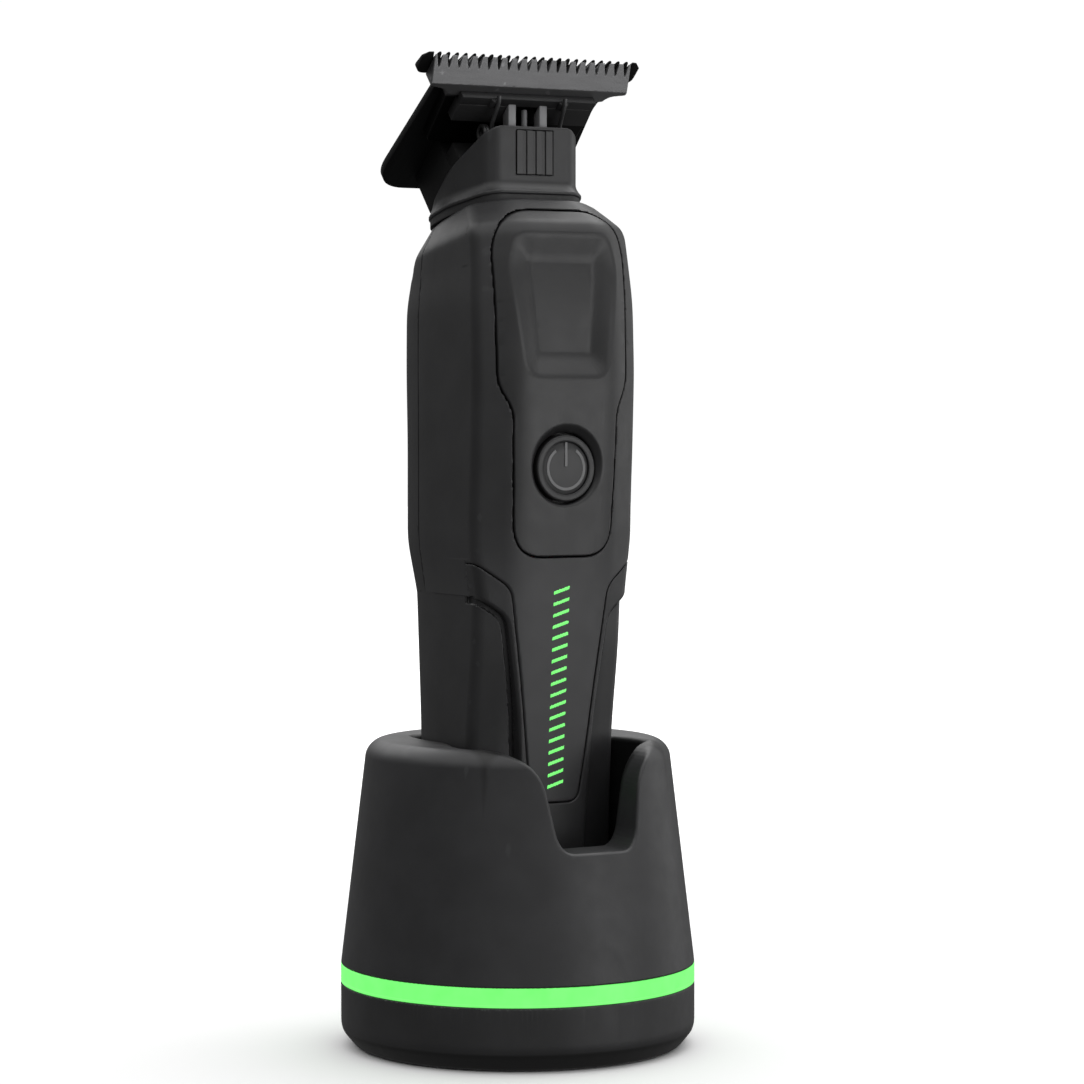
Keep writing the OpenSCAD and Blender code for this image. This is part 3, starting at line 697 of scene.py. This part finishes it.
def board(name):
    """Solder mask over copper tracks."""
    mat, tree, shader = nodes_of(name)
    coords = in_mm(tree)
    tracks = add(tree, "TexBrick", Scale=0.6, Mortar_Size=0.04)
    tree.links.new(coords, tracks.inputs["Vector"])
    base = blended(tree, tracks.outputs["Fac"], (0.01, 0.09, 0.03), (0.02, 0.17, 0.06))
    tree.links.new(base, shader.inputs["Base Color"])
    tree.links.new(ranged(tree, noise(tree, coords, 1, 2), 0.3, 0.7, 0.3, 0.4),
                   shader.inputs["Roughness"])
    bump(tree, shader, tracks.outputs["Fac"], 0.03)
    return mat


GREEN = (0.205, 1.0, 0.195)
BLACK = (0.0035, 0.0035, 0.0036)
MATERIALS = {
    "dock_plastic": moulded("dock_plastic", (0.022, 0.022, 0.0235), 0.47),
    "tray_plastic": moulded("tray_plastic", (0.02, 0.02, 0.021), 0.5),
    "soft_touch": moulded("soft_touch", (0.019, 0.019, 0.02), 0.45),
    "tongue_painted_light": moulded("tongue_painted_light", (0.019, 0.019, 0.02), 0.45),
    "panel_plastic": moulded("panel_plastic", (0.0155, 0.0155, 0.0163), 0.42, grain=7, depth=0.004),
    "inner_plastic": moulded("inner_plastic", (0.005, 0.005, 0.0052), 0.6, 0.2, grain=3),
    "foot_rubber": moulded("foot_rubber", (0.01, 0.01, 0.01), 0.7, grain=2.5, depth=0.02),
    "seal_rubber": moulded("seal_rubber", (0.018, 0.018, 0.0185), 0.55, grain=3, depth=0.01),
    "icon_grey": moulded("icon_grey", (0.12, 0.12, 0.122), 0.5, grain=9, depth=0.003),
    "badge_black": moulded("badge_black", (0.008, 0.008, 0.0085), 0.33, grain=9, depth=0.003),
    "yoke_grey": moulded("yoke_grey", (0.016, 0.016, 0.0165), 0.5, 0.3, grain=4),
    "cam_grey": moulded("cam_grey", (0.16, 0.16, 0.165), 0.4, grain=4),
    "battery_wrap": moulded("battery_wrap", (0.01, 0.05, 0.2), 0.3, grain=1, depth=0.01),
    "lead_sleeve": moulded("lead_sleeve", (0.4, 0.02, 0.015), 0.45, grain=2),
    "led_white": moulded("led_white", (0.7, 0.75, 0.6), 0.2, grain=2),
    "green_light": glowing("green_light", GREEN),
    "board": board("board"),
    "plated_steel": metal("plated_steel", (0.55, 0.55, 0.56), 0.32, stretch=(1, 1, 0.1)),
    "spring_steel": metal("spring_steel", (0.045, 0.045, 0.046), 0.4, 0.7),
    "screw_steel": metal("screw_steel", (0.4, 0.4, 0.41), 0.3),
    "screw_black": metal("screw_black", (0.03, 0.03, 0.031), 0.42, 0.6),
    "gold_contact": metal("gold_contact", (0.8, 0.56, 0.22), 0.22),
    "cast_alloy": metal("cast_alloy", (0.42, 0.42, 0.43), 0.45, grain=2, depth=0.02),
    "blade_black": metal("blade_black", (0.003, 0.003, 0.0032), 0.6, 0.0, (6, 0.5, 1),
                         specular=0.12),
    "blade_grey": metal("blade_grey", (0.15, 0.15, 0.153), 0.42, 0.75, (0.4, 5, 5)),
}

# Colours that change over one piece: the cutter is grey only at its toothed bar, painted shade
# turns the tray's low chamfer and the inside of the socket black, and painted light makes the
# tongue paler
blade_origin = blade_place(0, 0, 0)[0]
up_blade = blade_origin - np.array([blade_place(*corner)[0] for corner in np.eye(3)])
for slot, share, other in (
        ("blade_grey", along(up_blade, blade_origin - 8.6, blade_origin - 7.8), BLACK),
        # Painted shade: the tray's downward chamfer is coloured black
        ("tray_plastic", along((0, 0, 1), TRAY_SHADE_Z - 0.2, TRAY_SHADE_Z + 0.2), BLACK),
        # Painted shade: the dock's plastic is coloured black inside the socket
        ("dock_plastic", out_of_socket, BLACK),
        # Painted light: the lower front housing is coloured paler where the tongue faces the light
        ("tongue_painted_light", along((0, 0, 1), 86, 98), (0.031, 0.031, 0.0325))):
    tinted(MATERIALS[slot], share, other)
SLOTS = {s["node"]: s["material_slot"] for s in frame["record"]["subparts"]}


def dress(obj, name):
    obj.data.materials.clear()
    obj.data.materials.append(MATERIALS[name])
    return obj


def stand_in(obj, body, *replaced):
    """The piece takes the place of CAD nodes and the finish of the first."""
    slot = SLOTS[replaced[0]]
    dress(obj, slot)
    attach(obj, body)
    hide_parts(*replaced)
    return obj


def carved(name, f, body, margin, step, keep=0.3):
    """A solid for the CAD node that f is named after, sought in its box with a margin."""
    low, high = node_box(f.__name__)
    return stand_in(solid(name, f, low - margin, high + margin, step, keep), body, f.__name__)


# ---------------------------------------------------------------- dock
def dock_shell(x, y, z):
    radius = np.hypot(x, y)
    wall = (radius - DOCK_R + (z - RING_HIGH) * DOCK_SLOPE) / math.hypot(1, DOCK_SLOPE)
    outer = meet(meet(wall, z - DOCK_TOP, RIM_R), RING_HIGH - z, 0.25)
    socket = inside_by(x, y, SOCKET)
    notch = inside_by(x, z, NOTCH)
    inner_wall = radius - DOCK_R + DOCK_WALL + (z - RING_HIGH) * INNER_SLOPE
    hollow = meet(inner_wall, z - DOCK_TOP + DOCK_WALL)
    hollow = cut(hollow, meet(socket - DOCK_WALL, SOCKET_FLOOR - DOCK_WALL - z))
    hollow = cut(hollow, meet(notch - DOCK_WALL, y + 12))
    body = cut(outer, meet(socket, SOCKET_FLOOR - z), 1.1)
    body = cut(body, meet(notch, y + 12), 0.7)
    port = np.maximum(np.abs(x) - 8, np.abs(y) - 3.5)
    return cut(cut(body, hollow), meet(port, z - SOCKET_FLOOR - 5))


def base_tray(x, y, z):
    radius = np.hypot(x, y)
    profile = rounded([(0, 0.25), (30.4, 0.25), (32.6, 2.9), (DOCK_R, 4.2), (DOCK_R, RING_LOW),
                       (30.6, RING_LOW), (30.6, 5), (28.8, 3.2), (0, 3.2)],
                      [0.1, 0.6, 0.6, 0.8, 0.25, 0.3, 0.5, 0.5, 0.1], 4)
    body = inside_by(radius, z, profile)
    groove = np.maximum(np.abs(radius - FOOT_GROOVE_R) - FOOT_GROOVE_HALF, z - FOOT_DEPTH)
    inlet = meet(inside_by(x, z, rounded([(-4.5, 5.7), (4.5, 5.7), (4.5, 9.1), (-4.5, 9.1)],
                                         [1.5] * 4)), 20 - y)
    return cut(cut(body, groove, 0.15), inlet, 0.25)


def build_dock():
    carved("dock_shell_body", dock_shell, "dock", 1.5, 0.42, 0.4)
    carved("dock_base", base_tray, "dock", 1.5, 0.4)
    inside, groove_r = 29.4, DOCK_R - 0.4
    lip = RING_LOW + 0.42
    ring = [(inside, RING_LOW), (DOCK_R - 0.25, RING_LOW), (DOCK_R, RING_LOW + 0.12),
            (DOCK_R, lip), (groove_r, lip + 0.05), (groove_r, lip + 0.28), (DOCK_R, lip + 0.33),
            (DOCK_R, RING_HIGH - 0.12), (DOCK_R - 0.2, RING_HIGH), (inside, RING_HIGH)]
    stand_in(lathe("light_ring_glow", ring), "dock", "light_ring")
    foot = rounded([(23.4, 0), (28.6, 0), (28.6, FOOT_DEPTH), (23.4, FOOT_DEPTH)],
                   [0.35, 0.35, 0.1, 0.1], 5)
    stand_in(lathe("foot_ring_rubber", foot), "dock", "foot_ring")


# ---------------------------------------------------------------- clipper body
def handle_sleeve(x, y, z):
    under = 0.02 * np.clip((z - SLEEVE_TOP + 0.6) * 4, 0, 1)
    body = meet(core_skin(x, y, z) + under, FOOT_Z - z, 1.0)
    body = meet(body, z - SLEEVE_TOP - 1.5)
    beside = meet(inside_by(x, z, SPINE) - RAIL_GAP, -core_skin(x, y, z) - RAIL_GAP, 0.2)
    beside = meet(beside, y + 8)
    body = cut(body, meet(beside, FOOT_Z + 1.2 - z), 0.2)
    inner = meet(core_skin(x, y, z) + WALL, FOOT_Z + 3 - z)
    mouth = meet(core_skin(x, y, FOOT_Z + 0 * z) + WALL, z - FOOT_Z - 4)
    return cut(cut(body, inner), mouth, 0.3)


def front_housing(x, y, z):
    skin = grip(x, y, z)
    tongue = inside_by(x, z, TONGUE)
    front = meet(meet(skin, tongue, 0.35), y + 9.5)
    sides = np.maximum(np.maximum(skin, SLEEVE_TOP - z), np.maximum(-9.6 - y, y - SPLIT_Y))
    body = np.minimum(front, sides)
    body = cut(body, skin + WALL)
    panel = meet(inside_by(x, z, PANEL) - SEAM, y + 10)
    return cut(body, panel, 0.12)


def rear_housing(x, y, z):
    skin = grip(x, y, z)
    body = np.maximum(shell(skin, WALL), np.maximum(SPLIT_Y - y, SLEEVE_TOP - z))
    for across, height in HOUSING_SCREWS:
        bore = np.hypot(x - across, z - height)
        boss = meet(np.maximum(bore - 3.2, skin), 10.5 - y)
        body = np.minimum(body, boss)
        body = cut(body, meet(bore - 2.1, 12 - y), 0.3)
    return body


def spine_frame(x, y, z):
    skin = grip_skin(x, y, z)
    outer = meet(skin, inside_by(x, z, SPINE), 0.55)
    body = meet(outer, y + 9.4)
    body = cut(body, inside_by(x, z, TONGUE) - SEAM, 0.2)
    body = cut(body, core_skin(x, y, z) + 0.3)
    body = cut(body, grip_skin(x, y, z) + WALL + 1.5)
    return meet(meet(body, FOOT_Z - z, 0.8), z - 92.4)


def front_panel(x, y, z):
    skin = grip(x, y, z)
    body = meet(skin, inside_by(x, z, PANEL) + SEAM, 0.12)
    share = np.clip(1 + skin / DISH_DEPTH, -0.2, 1.4)
    dish = inside_by(x, z, DISH_FLOOR, (DISH_RIM, share)) * 0.87
    dish = meet(dish, -skin - DISH_DEPTH, 0.5)
    beyond_well = np.hypot(x, z - BUTTON_Z) - BUTTON_WELL_R
    hole = meet(beyond_well, y + 9)
    well = (beyond_well - np.clip(-y - WELL_FLARE_Y, -2, 3)) * 0.707
    well = meet(well, y + 14)
    backing = meet(inside_by(x, z, DISH_RIM) - 0.5, y + 14)
    body = cut(body, cut(skin + WALL, backing))
    body = cut(body, dish, 0.35)
    body = cut(body, well, 0.25)
    return meet(cut(body, hole, 0.1), y + 9)


def light_strip(x, y, z):
    """A column of slanted bars, evenly spaced over the CAD node's height."""
    skin = grip(x, y, z)
    low, high = node_box("light_strip")[0][2], node_box("light_strip")[1][2]
    end = 0.85  # from the node's end to the middle of its last bar
    pitch = (high - low - 2 * end) / (LIGHT_BARS - 1)
    nearest = np.clip(np.round((z - low - end) / pitch), 0, LIGHT_BARS - 1)
    lean = (z - (low + end + nearest * pitch)) - x * LIGHT_BAR_LEAN
    bar = meet(np.abs(x) - LIGHT_BAR_HALF_W, (np.abs(lean) - LIGHT_BAR_HALF_H) * 0.96, 0.12)
    return meet(np.maximum(skin - 0.03, -skin - 0.7), bar, 0.02)


def button_level(r):
    """How far forward the button's hollow face is at a radius."""
    return BUTTON_FACE_Y - BUTTON_HOLLOW * (1 - (r / BUTTON_FACE_R) ** 2)


def button_cap():
    edge = rounded([(6.1, 15.8), (6.1, 17.7), (BUTTON_FACE_R, BUTTON_FACE_Y)], [0.1, 0.45, 0.6], 5)
    face = [(r, button_level(r)) for r in (3.8, 3, 2, 1, 0)]
    profile = [(0, 15.1), (1.8, 15.1), (1.8, 15.8), *map(tuple, edge[1:]), *face]
    obj = lathe("power_button_cap", profile, "y", 128)
    obj.data.transform(Matrix.Translation((0, 0, BUTTON_Z * MM)))
    return obj


def button_icon():
    """The generic standby sign, printed on the button."""
    bm = bmesh.new()
    start, end, n = math.radians(90 + 34), math.radians(450 - 34), 60
    inner, outer = 3.55, 4.05
    level = -button_level((inner + outer) / 2)
    rows = []
    for i in range(n + 1):
        a = start + (end - start) * i / n
        rows.append([bm.verts.new((r * math.cos(a), y, BUTTON_Z + r * math.sin(a)))
                     for r, y in ((inner, level + 0.1), (outer, level + 0.1), (outer, level - 0.03),
                                  (inner, level - 0.03))])
    for a, b in zip(rows, rows[1:]):
        for k in range(4):
            bm.faces.new((a[k], a[(k + 1) % 4], b[(k + 1) % 4], b[k]))
    bm.faces.new(rows[0][::-1])
    bm.faces.new(rows[-1])
    dash = rounded([(-0.25, 0.3), (0.25, 0.3), (0.25, 4.7), (-0.25, 4.7)], [0.24] * 4, 4)
    verts = prism(bm, [(x, BUTTON_Z + z) for x, z in dash], 17.5, 17.69)
    for v in verts:
        v.co = Vector((v.co.x, -v.co.z, v.co.y))
    return piece("power_button_icon", bm, degrees=30)


def build_body():
    carved("handle_sleeve_shell", handle_sleeve, "clipper", 1.8, 0.3)
    # The front housing's finish has painted light making its tongue paler
    dress(carved("front_housing_shell", front_housing, "clipper", 1.5, 0.33), "tongue_painted_light")
    carved("rear_housing_shell", rear_housing, "clipper", 1.5, 0.42)
    carved("spine_frame_rails", spine_frame, "clipper", 1.2, 0.27)
    carved("front_panel_shell", front_panel, "clipper", 1.2, 0.27)
    carved("light_strip_bars", light_strip, "clipper", 0.8, 0.16, 0.5)
    stand_in(button_cap(), "button", "power_button")
    stand_in(button_icon(), "button", "button_icon")


# ---------------------------------------------------------------- neck
def slimmer(y):
    """The collar stands less proud along the sides than at the front."""
    return COLLAR_SIDE_LESS * np.clip((y + 8) / 8, 0, 1)


def neck_level(y, z):
    """The height over the leaning top of the body."""
    return z + TOP_LEAN * (y + 10)


def head_neck(x, y, z):
    level = neck_level(y, z)
    plan = inside_by(x, y, NECK)
    out = blade_place(x, y, z)[1]
    spread = np.clip((SEAL_Z + 2.9 - level) / 2.2, 0, 1)
    body = (plan - (COLLAR_PROUD - slimmer(y)) * spread**1.7) * 0.85
    body = meet(meet(body, SEAL_Z + 0.1 - level, 0.22), out - NECK_DEPTH, 0.45)
    hollow = meet(inside_by(x, y, NECK_HOLLOW), SEAL_Z + 1.8 - level)
    body = cut(body, hollow, 0.3)
    shaft = np.hypot(x, y - SHAFT_Y) - 4.4
    plate = inside_by(x, z, [(-BADGE_HALF, BADGE_LOW), (BADGE_HALF, BADGE_LOW),
                             (BADGE_HALF, BADGE_HIGH), (-BADGE_HALF, BADGE_HIGH)])
    return cut(cut(body, shaft), meet(plate, y + BADGE_BACK), 0.1)


def neck_seal(x, y, z):
    level = neck_level(y, z)
    proud = inside_by(x, y, NECK) - SEAL_PROUD + slimmer(y)
    return meet(meet(proud, level - SEAL_Z - 0.3), TOP_Z - level)


def badge():
    """A plain plate with three grooves."""
    bm = bmesh.new()
    gap, face, groove = 0.1, 6.4, 6.15
    half = BADGE_HALF - gap
    front = []
    for x in (-2, 0, 2):
        front += [(x - 0.35, face), (x - 0.3, groove), (x + 0.3, groove), (x + 0.35, face)]
    outline = [(-half, BADGE_BACK), (-half, face), *front, (half, face), (half, BADGE_BACK)]
    verts = prism(bm, outline, BADGE_LOW + gap, BADGE_HIGH - gap)
    for v in verts:
        v.co = Vector((v.co.x, -v.co.y, v.co.z))
    return piece("head_badge_plate", bm, 0.06, 1)


def build_neck():
    # The collar reaches past the node's box by more than a small margin
    stand_in(solid("head_neck_body", head_neck, (-16, -10, 150.5), (16, 16, 173), 0.27),
             "clipper", "head_neck")
    carved("neck_seal_gasket", neck_seal, "clipper", 2.0, 0.2, 0.4)
    stand_in(badge(), "clipper", "head_badge")
    bm = bmesh.new()
    block(bm, (-12, 21, NECK_DEPTH), (12, 32.5, 0), ON_BLADE)
    block(bm, (-12, 17.5, NECK_DEPTH), (12, 21.1, -5), ON_BLADE)
    stand_in(piece("blade_base_block", bm, 0.3), "clipper", "blade_base")


# ---------------------------------------------------------------- blades
def comb(width, pitch, depth, root, tip):
    """The teeth's outline from one side of a blade to the other."""
    count = int(width / pitch / 2) * 2 + 1
    points = []
    for i in range(count):
        x = (i - (count - 1) / 2) * pitch
        points += [(x - root / 2, depth), (x - tip, 0.25), (x - tip * 0.45, 0), (x + tip * 0.45, 0),
                   (x + tip, 0.25), (x + root / 2, depth)]
    return points


def fixed_blade():
    half = FIXED_W / 2
    horn = [(half - 2.5, 2.3), (half - 1.9, 0.1), (half - 1, 0.2), (half, 1.3)]
    side = [np.array(p) for p in [(half, 5.3), (17.2, 5.3), (17.7, 9), (19.9, 35)]]
    flank = np.concatenate([bezier(toward(side[0], np.array(horn[-1]), 1.6), side[0],
                                   toward(side[0], side[1], 1.6), 6),
                            bezier(toward(side[1], side[0], 2.4), side[1],
                                   toward(side[1], side[2], 2.4), 8),
                            bezier(toward(side[3], side[2], 6.5), side[3],
                                   side[3] - np.array([6.5, 0]), 12)])
    right = horn + [tuple(p) for p in flank]
    teeth = comb(FIXED_W - 5.6, FIXED_PITCH, 2.2, 1.25, 0.3)
    outline = [(-x, y) for x, y in reversed(right)] + teeth + right
    bm = bmesh.new()
    prism(bm, outline, 0, 1.4)
    reach = 5.0
    bmesh.ops.bisect_plane(bm, geom=bm.verts[:] + bm.edges[:] + bm.faces[:],
                           plane_co=(0, reach, 0), plane_no=(0, 1, 0))
    for v in bm.verts:
        if v.co.z > 0.5 and v.co.y < reach:
            v.co.z = 0.25 + v.co.y * (1.4 - 0.25) / reach
    bmesh.ops.transform(bm, matrix=ON_BLADE, verts=bm.verts)
    return piece("fixed_blade_plate", bm, 0.1, 2, 40)


def cutter_blade(x, y, z):
    down, out = blade_place(x, y, z)
    side = inside_by(down, out, [(0.3, -0.02), (0.42, -0.12), (4.9, -3.04), (7.4, -3.04),
                                 (8.2, -2.4), (20, -2.4), (20, -0.02)])
    half = CUTTER_W / 2
    outline = rounded(both_sides([(half, 0), (half, 5.6), (16.2, 6.4), (15.6, 20.2)]),
                      both([0.1, 0.4, 3.5, 1.5]))
    plan = inside_by(x, down, outline)
    body = meet(side, plan, 0.12)
    slots = int(CUTTER_W / CUTTER_PITCH)
    centre = (np.clip(np.round(x / CUTTER_PITCH + (slots - 1) / 2), 0, slots - 1)
              - (slots - 1) / 2) * CUTTER_PITCH
    gap_half = np.interp(np.ravel(down), [-1, 0.6, 2.35], [0.68, 0.5, 0.12]).reshape(np.shape(down))
    gap = meet(np.abs(x - centre) - gap_half, down - 2.35, 0.1) * 0.95
    return cut(body, gap, 0.06)


def yoke():
    bm = bmesh.new()
    block(bm, (-14.2, 8.3, -4.6), (-2.5, 12.5, -2.42), ON_BLADE)
    block(bm, (2.5, 8.3, -4.6), (14.2, 12.5, -2.42), ON_BLADE)
    block(bm, (-14.2, 6.4, -4.6), (14.2, 8.31, -3.06), ON_BLADE)
    for side in (-1, 1):
        nub = prism(bm, [(side * 7.2 + math.cos(a), math.sin(a))
                         for a in np.linspace(0, math.pi, 13)], 6.6, 8.2)
        for v in nub:
            v.co = ON_BLADE @ Vector((v.co.x, v.co.z, -4.5 - v.co.y))
    return piece("yoke_bar", bm, 0.14, 3)


def yoke_prongs():
    """The two fingers that the drive pin runs between."""
    bm = bmesh.new()
    for side in (-1, 1):
        block(bm, (side * 3.3 - 0.8, -3.8, 170), (side * 3.3 + 0.8, -1.6, 174.4))
    return piece("yoke_prongs", bm, 0.14, 3)


def cutter_drive_pin():
    radius, low, high = 0.55, 163, 173.6
    profile = rounded([(0, low), (radius, low), (radius, high), (0, high)],
                      [0.01, 0.05, 0.2, 0.01], 3)
    pin = lathe("eccentric_cam_pin", profile, "z", 32)
    pin.data.transform(Matrix.Translation((0, (SHAFT_Y - PIN_OFFSET) * MM, 0)))
    return pin


def cam_body():
    outline = [(1, 158.9), (3.2, 158.9), (3.2, 163.1), (0, 163.1), (0, 160.9), (1, 160.9)]
    profile = rounded(outline, [0.05, 0.3, 0.3, 0.01, 0.01, 0.05], 4)
    cam = lathe("eccentric_cam_disc", profile, "z", 96)
    cam.data.transform(Matrix.Translation((0, SHAFT_Y * MM, 0)))
    return cam


def spring_wire():
    half = [(7, -5.5, 175.7), (7, -5.3, 174.5), (7.1, -4.2, 172.7), (7.2, -3.2, 171)]
    steps = np.arange(0, 28.01, 0.5)
    half += [(7.3 + i * 0.05, -1.3 - 1.5 * math.cos(math.radians(i * 30)),
              168.9 - 1.5 * math.sin(math.radians(i * 30))) for i in steps]
    half += [(8.2, 0.5, 166.4), (6.8, 0.7, 166), (3, 0.7, 165.9)]
    return wire("blade_spring_wire", half + [(-x, y, z) for x, y, z in reversed(half)], 0.4)


def build_head():
    stand_in(fixed_blade(), "clipper", "fixed_blade")
    carved("cutter_blade_plate", cutter_blade, "cutter", 0.8, 0.13, 0.35)
    stand_in(yoke(), "cutter", "yoke")
    stand_in(cam_body(), "rotor", "eccentric_cam")
    for obj, body in ((cutter_drive_pin(), "rotor"), (yoke_prongs(), "cutter")):
        dress(obj, "cam_grey")
        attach(obj, body)
    stand_in(spring_wire(), "clipper", "blade_spring")


build_dock()
build_body()
build_neck()
build_head()

# The other CAD nodes keep their shapes and get their finishes here
replaced = {n for n in SLOTS if nodes[n].hide_render}
for node, slot in SLOTS.items():
    if node not in replaced:
        dress(nodes[node], slot)


# ---------------------------------------------------------------- camera and light
def camera():
    """A long lens at the height of the button, turned a little to the right and down."""
    data = bpy.data.cameras.new("camera")
    data.sensor_width = 36
    data.lens = 119.6
    data.clip_start = 0.01
    obj = link(bpy.data.objects.new("camera", data))
    turn, pitch = math.radians(-30 - 0.39), math.radians(90 - 2.26)
    obj.location = Vector((-334.9, -580.0, 120.1)) * MM
    obj.rotation_euler = (pitch, 0, turn)
    bpy.context.scene.camera = obj


def lamp(name, place, aim, size, watts):
    """A rectangular soft light; places and sizes in metres."""
    data = bpy.data.lights.new(name, "AREA")
    data.shape = "RECTANGLE"
    data.size, data.size_y = size
    data.energy = watts
    obj = link(bpy.data.objects.new(name, data))
    obj.location = place
    obj.rotation_euler = (Vector(aim) - Vector(place)).to_track_quat("-Z", "Y").to_euler()
    obj.visible_camera = False


def backdrop():
    """A pale floor that glows further out, so that it's white but for the contact shadow."""
    bm = bmesh.new()
    edge = 3.0
    bm.faces.new([bm.verts.new((x * edge, y * edge, -0.00005)) for x, y in
                  ((-1, -1), (1, -1), (1, 1), (-1, 1))])
    mesh = bpy.data.meshes.new("floor")
    bm.to_mesh(mesh)
    bm.free()
    obj = link(bpy.data.objects.new("floor", mesh))
    obj.visible_diffuse = obj.visible_glossy = False
    mat, tree, shader = nodes_of("floor_white")
    coords = in_mm(tree)
    cloud = noise(tree, coords, 0.002, 2)
    tree.links.new(blended(tree, cloud, (0.79, 0.79, 0.79), (0.81, 0.81, 0.81)),
                   shader.inputs["Base Color"])
    shader.inputs["Emission Color"].default_value = (1, 1, 1, 1)
    tree.links.new(ranged(tree, measured(tree, coords, "LENGTH"), 120, 450, 0, 0.4),
                   shader.inputs["Emission Strength"])
    shader.inputs["Roughness"].default_value = 0.9
    shader.inputs["Specular IOR Level"].default_value = 0
    mesh.materials.append(mat)


def air():
    """White behind the object, and a dim grey all round for what it lights."""
    world = bpy.data.worlds.new("air")
    world.use_nodes = True
    tree = world.node_tree
    shown = tree.nodes["Background"]
    shown.inputs["Color"].default_value = (1, 1, 1, 1)
    shown.inputs["Strength"].default_value = 1.02
    dim = tree.nodes.new("ShaderNodeBackground")
    dim.inputs["Color"].default_value = (1, 1, 1, 1)
    dim.inputs["Strength"].default_value = 0.16
    path = tree.nodes.new("ShaderNodeLightPath")
    mix = tree.nodes.new("ShaderNodeMixShader")
    tree.links.new(path.outputs["Is Camera Ray"], mix.inputs[0])
    tree.links.new(dim.outputs[0], mix.inputs[1])
    tree.links.new(shown.outputs[0], mix.inputs[2])
    tree.links.new(mix.outputs[0], tree.nodes["World Output"].inputs["Surface"])
    bpy.context.scene.world = world


def ceiling(strength, degrees):
    """An even light from above, as a wide soft sun."""
    data = bpy.data.lights.new("ceiling", "SUN")
    data.energy = strength
    data.angle = math.radians(degrees)
    link(bpy.data.objects.new("ceiling", data))


camera()
backdrop()
air()
ceiling(2.9, 120)
lamp("front", (-0.65, -1.25, 0.3), (0, 0, 0.1), (1.3, 0.8), 1.1)
lamp("front_right", (0.6, -1.1, 0.1), (0, 0, 0.06), (1.1, 0.5), 3.4)
lamp("right", (1.2, -0.05, 0.3), (0, 0, 0.1), (0.9, 0.9), 2.4)
lamp("table", (0.5, -0.8, 0.004), (0.5, -0.8, 1), (1.1, 1.0), 4.0)
lamp("overhead", (0.5, 0.1, 1.0), (0, 0, 0.1), (0.8, 0.8), 3.2)
lamp("behind", (0.1, 1.1, 0.75), (0, 0, 0.1), (1.6, 0.7), 4.0)
bpy.context.scene.view_settings.view_transform = "Standard"
